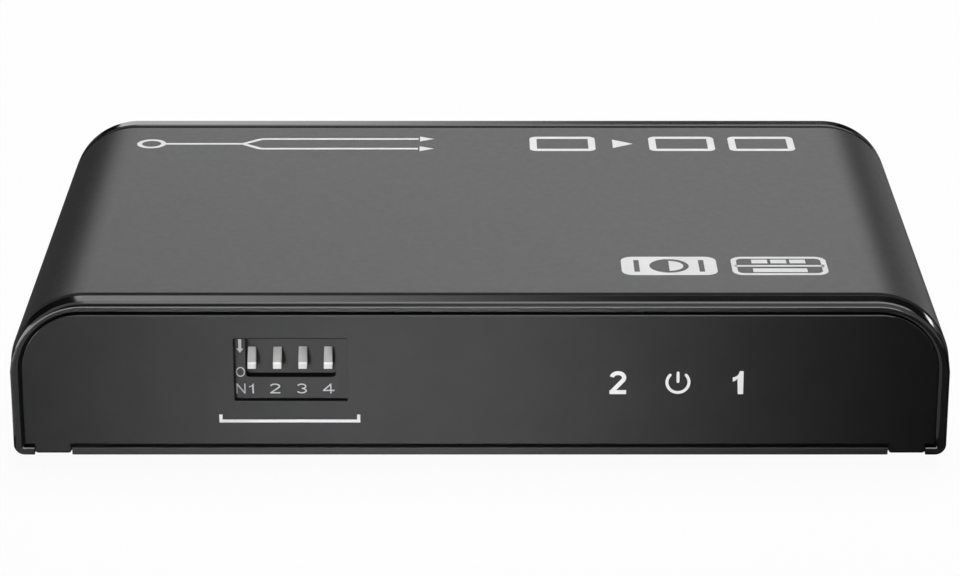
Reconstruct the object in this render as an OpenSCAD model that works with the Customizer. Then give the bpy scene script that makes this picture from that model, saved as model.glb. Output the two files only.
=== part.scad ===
// One-to-two video splitter box: a cast cover over a sheet base, with a circuit board between two end panels.
// Millimetres. The front faces -Y, +X is to the right seen from the front, +Z is up and z = 0 is the desk.

/* [Case] */
// Width of the cover
case_w = 94; // [90:0.5:110]
// Depth of the cover, front edge to rear edge
case_d = 58.6; // [56:0.2:70]
// Height of the cover, without the feet
case_h = 16.7; // [16:0.1:22]
// Radius of the cover's two long top corners
corner_r = 7.5; // [5:0.1:8]
// Radius of the cover's two lower corners
lower_r = 2; // [1.5:0.1:2.6]
// Thickness of the cover's top
top_wall = 1.3; // [1:0.05:1.6]
// Thickness of the cover's sides
side_wall = 1; // [0.8:0.05:1.3]
// Reach of the lips under the cover, from its outer side
lip_w = 2.2; // [1.9:0.1:3]
// Sheet that the base and both end panels are cut from
sheet_t = 0.8; // [0.6:0.05:1]
// Gap round the end panels and the base
seam = 0.3; // [0.2:0.05:0.4]
// Width of the corner notches at the ends of the base
notch_w = 3.5; // [2.5:0.1:5]

/* [Polished edges] */
// Width of the polished band at each end of the cover, the bevel included
band_w = 1.25; // [0.8:0.05:1.8]
// How far the band falls on its way to the bevel
band_drop = 0.3; // [0.1:0.05:0.4]
// Length of the bevel on the very edge
bevel_w = 0.35; // [0.2:0.05:0.6]
// How far the bevel falls
bevel_drop = 0.3; // [0.1:0.05:0.4]
// Width of the groove behind the band
groove_w = 0.7; // [0.4:0.05:1]
// Depth of the groove
groove_depth = 0.25; // [0.1:0.05:0.4]

/* [Fasteners and feet] */
// Radius of the screw posts inside the cover
post_r = 2.8; // [2.2:0.1:3.2]
// Distance of a post's axis from the cover's inner side
post_inset_x = 5.5; // [4:0.1:7]
// Distance of a post's axis from the end panel's inner face
post_inset_y = 4; // [3.2:0.1:5]
// Radius of the case screws' shanks
screw_r = 1.2; // [1:0.05:1.4]
// Length of the case screws
screw_len = 6; // [5:0.5:9]
// Width of the end panels' folded tabs
tab_w = 7.6; // [6:0.1:8]
// Height of the rubber feet
foot_h = 1.2; // [0.8:0.1:3]
// Radius of the rubber feet
foot_r = 4; // [3:0.1:6]
// Distance of a foot's axis from the cover's side
foot_inset_x = 14; // [10:0.5:20]
// Distance of a foot's axis from the cover's end
foot_inset_y = 11; // [9:0.5:16]

/* [Circuit board] */
// Thickness of the board
board_t = 1.6; // [1:0.1:2]
// Height of the standoffs above the base
standoff_h = 2; // [1.6:0.1:3]
// Radius of the standoffs
standoff_r = 2.2; // [1.9:0.1:2.8]
// Radius of the board screws' shanks
board_screw_r = 0.8; // [0.7:0.05:1]
// Distance of the board screws from the board's sides
board_hole_in = 3.4; // [3:0.1:5]
// Distance of the front board screws from the board's front edge
board_hole_front = 18; // [16.5:0.5:20]
// Distance of the rear board screws from the board's rear edge
board_hole_rear = 19.5; // [17:0.5:24]

/* [Video ports] */
// Width inside a port's shell
port_w = 14; // [13.9:0.05:14.4]
// Height inside a port's shell
port_h = 4.55; // [4.5:0.05:4.8]
// Width of the narrow foot of the port's outline
port_foot_w = 10.4; // [9.6:0.1:11]
// Sheet of a port's shell
shell_t = 0.35; // [0.25:0.05:0.45]
// Depth of a port's shell
shell_d = 12; // [10:0.5:14]
// Distance of the first output's axis from the cover's right side
port_inset = 19; // [18.2:0.1:21]
// Distance from the inlet's axis to the input's axis
jack_to_port = 17; // [14:0.1:18]

/* [Power inlet] */
// Distance of the inlet's axis from the cover's left side
jack_inset = 14.5; // [14:0.1:16]
// Width of the inlet's block
jack_w = 9; // [8.6:0.1:9.4]
// Depth of the inlet's block
jack_d = 12; // [11:0.5:14]
// Radius of the inlet's bore
jack_bore_r = 3.15; // [3:0.05:3.3]
// Radius of the inlet's centre pin
jack_pin_r = 1.05; // [0.9:0.05:1.25]
// Depth of the inlet's bore
jack_bore_d = 9.5; // [8.5:0.5:10]

/* [Selector switch] */
// Distance of the selector's middle from the cover's left side
dip_inset = 27.95; // [26:0.05:30]
// Width of the selector's block
dip_w = 11.9; // [11.7:0.1:12.4]
// Height of the selector's block
dip_h = 9.6; // [9.2:0.1:10]
// Distance between neighbouring levers
dip_pitch = 2.54; // [2.5:0.01:2.56]
// Travel of a lever
dip_travel = 1.5; // [1.2:0.1:1.6]
// Width of the window in front of the selector
window_w = 11.5; // [11:0.1:11.6]
// Height of the window in front of the selector
window_h = 6.8; // [6.4:0.1:7]
// Width of the slot that the levers move in
slot_w = 8.85; // [8.7:0.05:9.2]
// Depth of the slot
slot_d = 1.2; // [1:0.05:1.4]
// Width of a lever
lever_w = 0.95; // [0.8:0.05:1.2]
// Height of a lever
lever_h = 2; // [1.8:0.05:2.2]
// Height of a lever's flat tip
lever_tip_h = 0.65; // [0.5:0.05:0.8]

/* [Indicators] */
// Distance of the middle indicator from the cover's right side
indicator_inset = 27.2; // [26:0.1:30]
// Distance between neighbouring indicators
indicator_pitch = 6.02; // [5.6:0.02:6.6]
// Height of the numerals
numeral_h = 2.65; // [2.2:0.05:2.8]
// Width of the strokes of the numerals
numeral_stroke = 0.48; // [0.4:0.02:0.6]
// Radius of the power sign
power_r = 1.3; // [1:0.05:1.4]
// Width of the strokes of the power sign
power_stroke = 0.38; // [0.3:0.02:0.5]

/* [Board parts] */
// Side of the splitter chip
chip_side = 14; // [10:0.5:16]
// Side of the heat sink
sink_side = 22; // [18:0.5:24]
// Height of the heat sink
sink_h = 6; // [4:0.1:7]
// Number of fins on the heat sink
sink_fins = 7; // [5:1:9]

/* [Hidden] */

$fn = 48;
// Overrun of a cut past the face that it opens
over = 1;
// Running clearance of pieces that slide or screw into each other
run = 0.06;
// Clearance of pieces that are put in from one side
loose = 0.15;

// Case levels and faces
case_z = foot_h;
roof_z = case_z + case_h;
base_top = case_z + sheet_t;
tab_top = base_top + sheet_t;
front_y = -case_d / 2;
rear_y = case_d / 2;
panel_low = base_top + seam;
inner_half = case_w / 2 - side_wall;
ceiling_z = roof_z - top_wall;
inner_top_r = corner_r - (top_wall + side_wall) / 2;
inner_low_r = lower_r - side_wall;
panel_half = inner_half - seam;
base_half = case_w / 2 - lip_w - seam;
strip_half = base_half - notch_w;
post_x = inner_half - post_inset_x;
post_y = case_d / 2 - sheet_t - post_inset_y;
tab_spare = 1;
tab_reach = post_inset_y + post_r + tab_spare;
// The panel's leg stops this far above the underside of the base
leg_rise = 0.2;

// Board levels
board_low = base_top + standoff_h;
deck_z = board_low + board_t;
board_half = post_x - post_r - 2 * seam;
board_end = case_d / 2 - sheet_t - 2 * seam;
board_hole_x = board_half - board_hole_in;
board_holes = [
    for (side = [-1, 1], row = [-board_end + board_hole_front, board_end - board_hole_rear])
        [side * board_hole_x, row]
];
screw_head_h = 1.3;
screw_head_r = 1.9;

// Port levels
port_z = deck_z + shell_t + port_h / 2;
port_y = rear_y - loose;
port_shoulder = 0.5;
port_slope_h = 1.05;
tongue_w = 11.2;
tongue_t = 1.15;
tongue_lift = 0.25;
tongue_sink = 1.3;
tongue_len = 6.4;
contact_w = 0.4;
contact_t = 0.1;
contact_pitch = 1;
upper_contacts = 10;
lower_contacts = 9;
tail_w = 0.25;
tail_len = 1.4;
tail_h = 0.2;
leg_len = 1.2;
leg_places = [3.2, 9.4];
jack_x = jack_inset - case_w / 2;
output_1_x = case_w / 2 - port_inset;
input_x = jack_x + jack_to_port;
output_2_x = (output_1_x + input_x) / 2;

// Inlet levels
jack_wall = 1.15;
jack_h = 2 * (jack_bore_r + jack_wall);
jack_z = deck_z + jack_h / 2;
jack_nose_wall = 0.75;
jack_nose_r = jack_bore_r + jack_nose_wall;
jack_face_y = rear_y - sheet_t - loose;
jack_back_y = jack_face_y - jack_d;
jack_floor_y = port_y - jack_bore_d;
jack_tail_r = 0.7;
pin_sink = 1.2;
spring_w = 2;
spring_t = 0.25;
spring_rise = 0.55;
spring_skin = 0.45;
spring_floor = deck_z + spring_skin;
terminal_w = 2.2;
terminal_t = 0.4;
lead_below = 0.8;

// Selector levels
dip_x = dip_inset - case_w / 2;
dip_face_y = front_y + sheet_t + run;
dip_mid_z = deck_z + dip_h / 2;
housing_d = 3.4;
dip_base_d = 1.6;
dip_back_y = dip_face_y + housing_d + dip_base_d;
lever_rest_gap = 0.85;
slot_low_drop = 1.1;
slot_end_gap = 0.3;
slot_low = dip_mid_z - slot_low_drop;
lever_z = slot_low + lever_rest_gap;
slot_h = lever_rest_gap + lever_h + dip_travel + slot_end_gap;
slot_floor_y = dip_face_y + slot_d;
slot_floor_t = 0.6;
neck_w = 0.5;
neck_h = 0.55;
shoe_w = 1.6;
shoe_d = 0.8;
shoe_h = 1.7;
shoe_drop = 0.35;
dip_row = 7.62;
lead_w = 0.5;
lead_t = 0.3;
lead_rows = [[-dip_row / 2, 1.2], [dip_row / 2, 3.74]];
lead_hole_r = 0.45;

// Indicator levels
indicator_x = case_w / 2 - indicator_inset;
indicator_rise = 3.45;
indicator_z = deck_z + indicator_rise;
pipe_w = 4.4;
pipe_h = 3.6;
pipe_d = 3.2;
holder_wall = 0.9;
holder_ledge = 0.5;
led_w = 2.8;
led_d = 1.9;
led_h = 1.3;
numeral_w = 1.8;
power_gap_deg = 38;
power_bar_top = 1.15;
power_bar_low = -0.25;

// Board parts, each placed on the deck by [x, y]
function beside(x, offset) = [x + offset.x, offset.y];
chip_at = [6, -4];
chip_h = 0.9;
pad_t = 0.5;
sink_base_t = 1.6;
fin_t = 1;
controller_at = beside(dip_x, [2.05, -8]);
controller_size = [7, 7, 0.9];
memory_at = beside(dip_x, [2.05, 2]);
memory_size = [4.9, 3.9, 1.5];
regulator_at = beside(jack_x, [6, -8]);
regulator_size = [6.5, 3.5, 1.6];
inductor_at = beside(jack_x, [2.5, 0]);
inductor_size = [6, 6, 3];
crystal_at = [-6, -14];
crystal_size = [5, 3.2, 1];
surge_gap = 2.15;
surge_at_y = port_y - shell_d - tail_len - surge_gap;
surge_size = [2.5, 1, 0.55];
surge_offset = 3;
capacitor_side = 8.1;
capacitor_step = 6.4;
capacitor_gap = 4;
capacitor_places = [
    for (i = [0, 1]) [jack_x + capacitor_side + i * capacitor_step, surge_at_y - capacitor_gap]
];
capacitor_r = 2.5;
capacitor_h = 5.4;
resistor_size = [1.6, 0.8, 0.5];
resistor_start = beside(dip_x, [9.05, 4]);
resistor_step = 2.2;
resistor_count = 5;
cap_chip_size = [1.6, 0.8, 0.8];
cap_chip_gap = 4;
cap_chip_start = [chip_at.x + sink_side / 2 + cap_chip_gap, -10];
cap_chip_step = 2.4;
cap_chip_count = 6;

// Colours, as the unit shows them
satin_black = [0.13, 0.13, 0.135];
panel_black = [0.08, 0.08, 0.085];
rubber_black = [0.05, 0.05, 0.05];
steel = [0.72, 0.72, 0.74];
gold = [0.83, 0.66, 0.3];
tin = [0.78, 0.78, 0.8];
moulding_black = [0.06, 0.06, 0.06];
moulding_grey = [0.2, 0.2, 0.21];
lever_white = [0.85, 0.85, 0.84];
clear_white = [0.93, 0.94, 0.95];
board_green = [0.05, 0.26, 0.14];
chip_black = [0.09, 0.09, 0.1];
pad_grey = [0.6, 0.65, 0.7];
aluminium = [0.66, 0.67, 0.69];
ferrite = [0.25, 0.25, 0.26];
ceramic_tan = [0.62, 0.5, 0.36];

// Helpers

// Block standing on z = 0, centred on the Z axis
module slab(size) {
    translate([-size.x / 2, -size.y / 2, 0]) cube(size);
}

// Slab set on the board at [x, y]
module on_deck(at, size) {
    translate([at.x, at.y, deck_z]) slab(size);
}

// Outline in X and Z carried along Y, from y_from to y_to
module along_y(y_from, y_to) {
    translate([0, y_to, 0]) rotate([90, 0, 0]) linear_extrude(y_to - y_from) children();
}

// Outline in Y and Z carried along X by the given width, centred on x = 0
module along_x(width) {
    translate([-width / 2, 0, 0]) rotate([90, 0, 90]) linear_extrude(width) children();
}

// Box section with rounded upper and lower corners
module box_outline(half, low, high, upper_r, under_r) {
    for (side = [-1, 1]) {
        translate([side * (half - upper_r), high - upper_r]) circle(upper_r);
        translate([side * (half - under_r), low + under_r]) circle(under_r);
    }
    translate([upper_r - half, low + under_r]) square([2 * (half - upper_r), high - low - under_r]);
    translate([under_r - half, low]) square([2 * (half - under_r), high - low - upper_r]);
    translate([-half, low + under_r]) square([2 * half, high - low - upper_r - under_r]);
}

// Each of the four post places
module at_posts(z) {
    for (side = [-1, 1], end = [-1, 1]) translate([side * post_x, end * post_y, z]) children();
}

// Crossed slots for a screwdriver, opening downwards at z = 0
module driver_cross(reach, depth) {
    slot = 0.5;
    translate([0, 0, -over]) {
        slab([2 * reach, slot, depth + over]);
        slab([slot, 2 * reach, depth + over]);
    }
}

// Cover

// What the groove, band and bevel take off the front end, as [depth below the surface, distance from the end]
rim_cut = [
    [-over, -over],
    [band_drop + bevel_drop, -over],
    [band_drop + bevel_drop, 0],
    [band_drop, bevel_w],
    [0, band_w],
    [groove_depth, band_w + groove_w / 2],
    [0, band_w + groove_w],
    [-over, band_w + groove_w]
];

// Rim cut carried round one half of the outline: top, upper corner, side, lower corner and lip
module half_rim_cut() {
    top_run = case_w / 2 - corner_r;
    side_run = case_h - corner_r - lower_r;
    translate([0, front_y, roof_z]) rotate([0, 90, 0]) linear_extrude(top_run) polygon(rim_cut);
    translate([top_run, front_y, roof_z - corner_r]) mirror([0, 1, 0]) rotate([90, 0, 0])
        rotate_extrude(angle = 90) polygon([for (p = rim_cut) [corner_r - p[0], p[1]]]);
    translate([case_w / 2, front_y, case_z + lower_r]) mirror([1, 0, 0])
        linear_extrude(side_run) polygon(rim_cut);
    translate([case_w / 2 - lower_r, front_y, case_z + lower_r]) mirror([0, 0, 1]) mirror([0, 1, 0])
        rotate([90, 0, 0]) rotate_extrude(angle = 90) polygon([for (p = rim_cut) [lower_r - p[0], p[1]]]);
}

// Room for the selector's block, which goes into the ceiling where the case is low
module selector_room() {
    depth = housing_d + dip_base_d;
    translate([dip_x, dip_face_y + depth / 2, deck_z])
        slab([dip_w + 2 * loose, depth + 2 * loose, dip_h + loose]);
}

module top_cover() {
    color(satin_black) {
        difference() {
            along_y(front_y, rear_y) difference() {
                box_outline(case_w / 2, case_z, roof_z, corner_r, lower_r);
                box_outline(inner_half, base_top, ceiling_z, inner_top_r, inner_low_r);
                translate([lip_w - case_w / 2, case_z - over])
                    square([case_w - 2 * lip_w, 2 * over + sheet_t]);
            }
            for (side = [0, 1], end = [0, 1])
                mirror([side, 0, 0]) mirror([0, end, 0]) half_rim_cut();
            selector_room();
        }
        intersection() {
            at_posts(tab_top) difference() {
                cylinder(r = post_r, h = case_h);
                translate([0, 0, -over]) cylinder(r = screw_r + run, h = screw_len + over);
            }
            along_y(front_y, rear_y)
                box_outline(case_w / 2 - side_wall / 2, case_z, roof_z - top_wall / 2,
                    corner_r - (top_wall + side_wall) / 4, lower_r - side_wall / 2);
        }
    }
}

// Base

// Cone that a screw's countersunk head takes up, from the underside of the base
module countersink(clearance) {
    cylinder(r1 = screw_r + sheet_t + clearance, r2 = screw_r + clearance, h = sheet_t);
}

module base_plate() {
    color(satin_black) difference() {
        translate([-base_half, front_y, case_z]) cube([2 * base_half, case_d, sheet_t]);
        for (side = [-1, 1], end = [-1, 1])
            translate([side * (strip_half + notch_w), end * case_d / 2, case_z - over])
                slab([2 * notch_w, 2 * (sheet_t + seam), sheet_t + 2 * over]);
        at_posts(case_z) countersink(run);
        for (at = board_holes)
            translate([at.x, at.y, case_z - over]) cylinder(r = board_screw_r * 2, h = sheet_t + 2 * over);
    }
}

module case_screws() {
    color(steel) at_posts(case_z) difference() {
        union() {
            countersink(0);
            cylinder(r = screw_r, h = screw_len);
        }
        driver_cross(screw_r, sheet_t / 2);
    }
}

module foot(side, end) {
    skirt = 0.4;
    color(rubber_black)
        translate([side * (case_w / 2 - foot_inset_x), end * (case_d / 2 - foot_inset_y), 0])
            cylinder(r1 = foot_r - skirt, r2 = foot_r, h = foot_h);
}

// End panels, made for the front end

module panel_blank() {
    along_y(front_y, front_y + sheet_t) {
        box_outline(panel_half, panel_low, ceiling_z - seam, inner_top_r - seam, inner_low_r - seam / 2);
        for (side = [-1, 1])
            translate([side * (strip_half + seam + (notch_w - seam) / 2) - (notch_w - seam) / 2, case_z + leg_rise])
                square([notch_w - seam, panel_low + inner_low_r - case_z]);
    }
    for (side = [-1, 1]) difference() {
        translate([side * post_x, front_y + sheet_t / 2 + (tab_reach + sheet_t / 2) / 2, base_top])
            slab([tab_w, tab_reach + sheet_t / 2, sheet_t]);
        translate([side * post_x, -post_y, base_top - over])
            cylinder(r = screw_r + loose, h = sheet_t + 2 * over);
    }
}

module front_panel() {
    color(panel_black) difference() {
        panel_blank();
        along_y(front_y - over, front_y + sheet_t + over) {
            translate([dip_x - window_w / 2, dip_mid_z - window_h / 2]) square([window_w, window_h]);
            for (i = [-1, 0, 1]) translate([indicator_x + i * indicator_pitch, indicator_z]) indicator_sign(i);
        }
    }
}

module rear_panel() {
    color(panel_black) difference() {
        mirror([0, 1, 0]) panel_blank();
        along_y(rear_y - sheet_t - over, rear_y + over) {
            for (x = [output_1_x, output_2_x, input_x])
                translate([x, port_z]) polygon(port_outline(shell_t + loose));
            translate([jack_x, jack_z]) circle(jack_nose_r + loose);
        }
    }
}

// Circuit board and its supports

module circuit_board() {
    color(board_green) difference() {
        translate([-board_half, -board_end, board_low]) cube([2 * board_half, 2 * board_end, board_t]);
        for (at = board_holes)
            translate([at.x, at.y, board_low - over])
                cylinder(r = board_screw_r + loose, h = board_t + 2 * over);
        for (x = [output_1_x, output_2_x, input_x]) translate([x, 0, 0]) shell_legs(loose);
        for (i = [0:3], row = lead_rows)
            translate([lever_x(i), dip_back_y + row[1], board_low - over])
                cylinder(r = lead_hole_r, h = board_t + 2 * over);
        jack_terminal(loose);
        spring_leg(loose);
    }
}

module board_standoffs() {
    color(steel) for (at = board_holes) translate([at.x, at.y, case_z]) difference() {
        union() {
            cylinder(r = board_screw_r * 2, h = sheet_t);
            translate([0, 0, sheet_t]) cylinder(r = standoff_r, h = standoff_h);
        }
        translate([0, 0, -over]) cylinder(r = board_screw_r + run, h = sheet_t + standoff_h + 2 * over);
    }
}

module board_screws() {
    shank = board_t + standoff_h;
    color(steel) for (at = board_holes) translate([at.x, at.y, deck_z]) difference() {
        union() {
            translate([0, 0, -shank]) cylinder(r = board_screw_r, h = shank);
            cylinder(r = screw_head_r, h = screw_head_h);
        }
        translate([0, 0, screw_head_h]) mirror([0, 0, 1]) driver_cross(screw_head_r / 2, screw_head_h / 2);
    }
}

// Video ports

// Inside outline of a port's shell, grown by a wall or a clearance
function port_outline(grow) = [
    for (side = [1, -1]) for (p = side > 0 ? port_side(grow) : reversed(port_side(grow))) [side * p.x, p.y]
];
function port_side(grow) = [
    [port_w / 2 + grow, port_h / 2 + grow],
    [port_w / 2 + grow, -port_shoulder - grow / 2],
    [port_foot_w / 2 + grow, -port_shoulder - port_slope_h - grow / 2],
    [port_foot_w / 2 + grow, -port_h / 2 - grow]
];
function reversed(list) = [for (i = [len(list) - 1:-1:0]) list[i]];

// Legs that go down from the shell's sides through the board
module shell_legs(clearance) {
    leg_top = port_z - port_shoulder;
    leg_low = board_low - lead_below;
    for (side = [-1, 1], place = leg_places)
        translate([side * (port_w + shell_t) / 2, port_y - place, leg_low - clearance])
            slab([shell_t + 2 * clearance, leg_len + 2 * clearance, leg_top - leg_low + clearance]);
}

module port_shell(x) {
    color(steel) translate([x, 0, 0]) {
        translate([0, 0, port_z]) along_y(port_y - shell_d, port_y) difference() {
            polygon(port_outline(shell_t));
            polygon(port_outline(0));
        }
        shell_legs(0);
    }
}

module port_insulator(x) {
    block_y = port_y - tongue_sink - tongue_len;
    color(moulding_black) translate([x, 0, port_z]) {
        along_y(port_y - shell_d, block_y) polygon(port_outline(-run));
        translate([0, block_y + tongue_len / 2, tongue_lift - tongue_t / 2])
            slab([tongue_w, tongue_len, tongue_t]);
    }
}

// A row of contacts on one face of the tongue
module contact_row(count) {
    length = tongue_len - 2 * contact_w;
    for (i = [0:count - 1])
        translate([(i - (count - 1) / 2) * contact_pitch, port_y - tongue_sink - contact_w - length / 2, 0])
            slab([contact_w, length, contact_t]);
}

module port_contacts(x) {
    tails = upper_contacts + lower_contacts;
    color(gold) translate([x, 0, 0]) {
        translate([0, 0, port_z + tongue_lift + tongue_t / 2]) contact_row(upper_contacts);
        translate([0, 0, port_z + tongue_lift - tongue_t / 2]) mirror([0, 0, 1]) contact_row(lower_contacts);
        for (i = [0:tails - 1])
            translate([(i - (tails - 1) / 2) * contact_pitch / 2, port_y - shell_d - tail_len / 2, deck_z])
                slab([tail_w, tail_len, tail_h]);
    }
}

// Power inlet

// Strap from the centre pin down behind the block and through the board
module jack_terminal(clearance) {
    low = board_low - lead_below - clearance;
    translate([jack_x, jack_back_y - terminal_t / 2, low])
        slab([terminal_w + 2 * clearance, terminal_t + 2 * clearance, jack_z + terminal_w / 2 - low]);
}

// Leg of the sleeve spring, through the block's floor and the board
module spring_leg(clearance) {
    low = board_low - lead_below - clearance;
    translate([jack_x, jack_floor_y + terminal_t, low])
        slab([spring_w + 2 * clearance, terminal_t + 2 * clearance, spring_floor + spring_t - low]);
}

module power_jack_body() {
    channel_len = port_y - sheet_t - jack_floor_y;
    color(moulding_black) difference() {
        union() {
            translate([jack_x, jack_face_y - jack_d / 2, deck_z]) slab([jack_w, jack_d, jack_h]);
            translate([jack_x, 0, jack_z]) along_y(jack_face_y - over, port_y) circle(jack_nose_r);
        }
        translate([jack_x, 0, jack_z]) {
            along_y(jack_floor_y, port_y + over) circle(jack_bore_r);
            along_y(jack_back_y - over, jack_floor_y + over) circle(jack_tail_r);
        }
        translate([jack_x, jack_floor_y + channel_len / 2, spring_floor])
            slab([spring_w + 2 * loose, channel_len, jack_z - spring_floor]);
        spring_leg(loose);
    }
}

module power_jack_pin() {
    color(tin) {
        translate([jack_x, 0, jack_z]) {
            along_y(jack_floor_y, port_y - pin_sink) circle(jack_pin_r);
            along_y(jack_back_y - terminal_t / 2, jack_floor_y) circle(jack_tail_r);
        }
        jack_terminal(0);
    }
}

module power_jack_spring() {
    start = jack_floor_y + terminal_t / 2;
    length = port_y - sheet_t - start - 2 * loose;
    color(tin) {
        translate([jack_x, start, spring_floor]) along_x(spring_w) polygon([
            [0, 0],
            [length / 3, 0],
            [length * 2 / 3, spring_rise],
            [length, 0],
            [length, spring_t],
            [length * 2 / 3, spring_rise + spring_t],
            [length / 3, spring_t],
            [0, spring_t]
        ]);
        spring_leg(0);
    }
}

// Selector switch

// Place of a lever across the case, counted from 0 at the left
function lever_x(i) = dip_x + (i - 1.5) * dip_pitch;

module selector_housing() {
    chamber_h = shoe_h + dip_travel + 2 * run;
    color(moulding_grey) difference() {
        translate([dip_x, dip_face_y + housing_d / 2, deck_z]) slab([dip_w, housing_d, dip_h]);
        translate([dip_x, dip_face_y, slot_low]) slab([slot_w, 2 * slot_d, slot_h]);
        for (i = [0:3]) translate([lever_x(i), 0, lever_z]) {
            translate([0, slot_floor_y, -run])
                slab([neck_w + 2 * run, 3 * slot_floor_t, neck_h + dip_travel + 2 * run]);
            translate([0, slot_floor_y + slot_floor_t + housing_d / 2, -shoe_drop - run])
                slab([shoe_w + 2 * run, housing_d, chamber_h]);
        }
    }
}

module selector_base() {
    color(moulding_black) translate([dip_x, dip_face_y + housing_d + dip_base_d / 2, deck_z])
        slab([dip_w, dip_base_d, dip_h]);
}

module selector_leads() {
    low = board_low - lead_below;
    color(tin) for (i = [0:3], row = lead_rows) translate([lever_x(i), dip_back_y, dip_mid_z + row[0]]) {
        translate([0, row[1] / 2, -lead_t / 2]) slab([lead_w, row[1], lead_t]);
        translate([0, row[1], low - dip_mid_z - row[0]])
            slab([lead_w, lead_t, dip_mid_z + row[0] - low + lead_t / 2]);
    }
}

// A lever: a ramped knob in the slot, a neck through its floor and a shoe behind it
module selector_lever(i) {
    tip_y = dip_face_y + run;
    back_y = slot_floor_y - run;
    shoe_y = slot_floor_y + slot_floor_t + run;
    color(lever_white) translate([lever_x(i), 0, lever_z]) {
        along_x(lever_w) polygon([[tip_y, 0], [back_y, 0], [back_y, lever_h], [tip_y, lever_tip_h]]);
        translate([0, (back_y + shoe_y) / 2, 0]) slab([neck_w, shoe_y - back_y, neck_h]);
        translate([0, shoe_y + shoe_d / 2, -shoe_drop]) slab([shoe_w, shoe_d, shoe_h]);
    }
}

// Indicators

// Numeral 2, centred on the origin
module numeral_two() {
    bowl_r = numeral_w / 2;
    eye_r = bowl_r - numeral_stroke;
    bowl_z = numeral_h / 2 - bowl_r;
    low = -numeral_h / 2;
    difference() {
        translate([0, bowl_z]) circle(bowl_r);
        translate([0, bowl_z]) circle(eye_r);
        translate([-bowl_r - over, bowl_z - bowl_r - over]) square([bowl_r + over, bowl_r + over]);
        translate([-over, bowl_z - bowl_r - over]) square([2 * bowl_r + over, bowl_r + over]);
    }
    polygon([
        [eye_r, bowl_z],
        [bowl_r, bowl_z],
        [numeral_stroke * 0.6 - bowl_r * 0.3, low + numeral_stroke],
        [-bowl_r, low + numeral_stroke]
    ]);
    translate([-bowl_r, low]) square([numeral_w, numeral_stroke]);
}

// Numeral 1, centred on the origin
module numeral_one() {
    flag_w = 0.75;
    flag_h = 0.75;
    half = (flag_w + numeral_stroke) / 2;
    translate([half - numeral_stroke, -numeral_h / 2]) square([numeral_stroke, numeral_h]);
    polygon([
        [half - numeral_stroke, numeral_h / 2],
        [half - numeral_stroke, numeral_h / 2 - numeral_stroke * 1.2],
        [-half, numeral_h / 2 - flag_h - numeral_stroke * 0.6],
        [-half, numeral_h / 2 - flag_h]
    ]);
}

// Power sign: an open ring and a bar
module power_sign() {
    reach = 2 * power_r;
    difference() {
        circle(power_r);
        circle(power_r - power_stroke);
        polygon([[0, 0], [reach * sin(power_gap_deg), reach * cos(power_gap_deg)],
            [-reach * sin(power_gap_deg), reach * cos(power_gap_deg)]]);
    }
    translate([-power_stroke / 2, power_bar_low]) square([power_stroke, power_bar_top - power_bar_low]);
}

// Sign of an indicator, -1, 0 or 1 from left to right
module indicator_sign(i) {
    if (i < 0) numeral_two();
    if (i == 0) power_sign();
    if (i > 0) numeral_one();
}

// Light pipe that turns its lamp's light forwards, with its sign standing in the panel
module indicator(i) {
    back = front_y + sheet_t;
    low = -pipe_h / 2;
    color(clear_white) translate([indicator_x + i * indicator_pitch, 0, indicator_z]) {
        along_x(pipe_w) polygon([
            [back, low],
            [back + pipe_d, low],
            [back + pipe_d, low + pipe_h - pipe_d / 2],
            [back + pipe_d / 2, low + pipe_h],
            [back, low + pipe_h]
        ]);
        along_y(front_y, back) indicator_sign(i);
    }
}

module indicator_holder() {
    back = front_y + sheet_t + run;
    width = 2 * indicator_pitch + pipe_w + 2 * holder_wall;
    depth = pipe_d + holder_wall;
    height = indicator_z + pipe_h / 2 + holder_wall - deck_z;
    shelf = indicator_z - pipe_h / 2 - deck_z;
    color(moulding_black) difference() {
        translate([indicator_x, back + depth / 2, deck_z]) slab([width, depth, height]);
        for (i = [-1, 0, 1]) translate([indicator_x + i * indicator_pitch, back, deck_z]) {
            translate([0, 0, shelf]) slab([pipe_w + 2 * run, 2 * pipe_d, pipe_h + run]);
            translate([0, pipe_d / 2, -over])
                slab([pipe_w - 2 * holder_ledge, pipe_d - holder_ledge, shelf + 2 * over]);
        }
    }
}

module led(i) {
    color(clear_white) on_deck([indicator_x + i * indicator_pitch, front_y + sheet_t + pipe_d / 2], [led_w, led_d, led_h]);
}

// Board parts

module splitter_chip() {
    color(chip_black) on_deck(chip_at, [chip_side, chip_side, chip_h]);
}

module thermal_pad() {
    color(pad_grey) translate([0, 0, chip_h]) on_deck(chip_at, [chip_side, chip_side, pad_t]);
}

module heat_sink() {
    fin_step = (sink_side - fin_t) / (sink_fins - 1);
    color(aluminium) translate([0, 0, chip_h + pad_t]) {
        on_deck(chip_at, [sink_side, sink_side, sink_base_t]);
        for (i = [0:sink_fins - 1])
            on_deck([chip_at.x + (i - (sink_fins - 1) / 2) * fin_step, chip_at.y], [fin_t, sink_side, sink_h]);
    }
}

module controller_chip() {
    color(chip_black) on_deck(controller_at, controller_size);
}

module memory_chip() {
    color(chip_black) on_deck(memory_at, memory_size);
}

// Two surge arrays on the lines of each port
module surge_arrays() {
    color(chip_black) for (x = [output_1_x, output_2_x, input_x], side = [-1, 1])
        on_deck([x + side * surge_offset, surge_at_y], surge_size);
}

module regulator() {
    color(chip_black) on_deck(regulator_at, regulator_size);
}

module inductor() {
    color(ferrite) on_deck(inductor_at, inductor_size);
}

module filter_capacitors() {
    color(aluminium) for (at = capacitor_places)
        translate([at.x, at.y, deck_z]) cylinder(r = capacitor_r, h = capacitor_h);
}

module crystal() {
    color(tin) on_deck(crystal_at, crystal_size);
}

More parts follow.
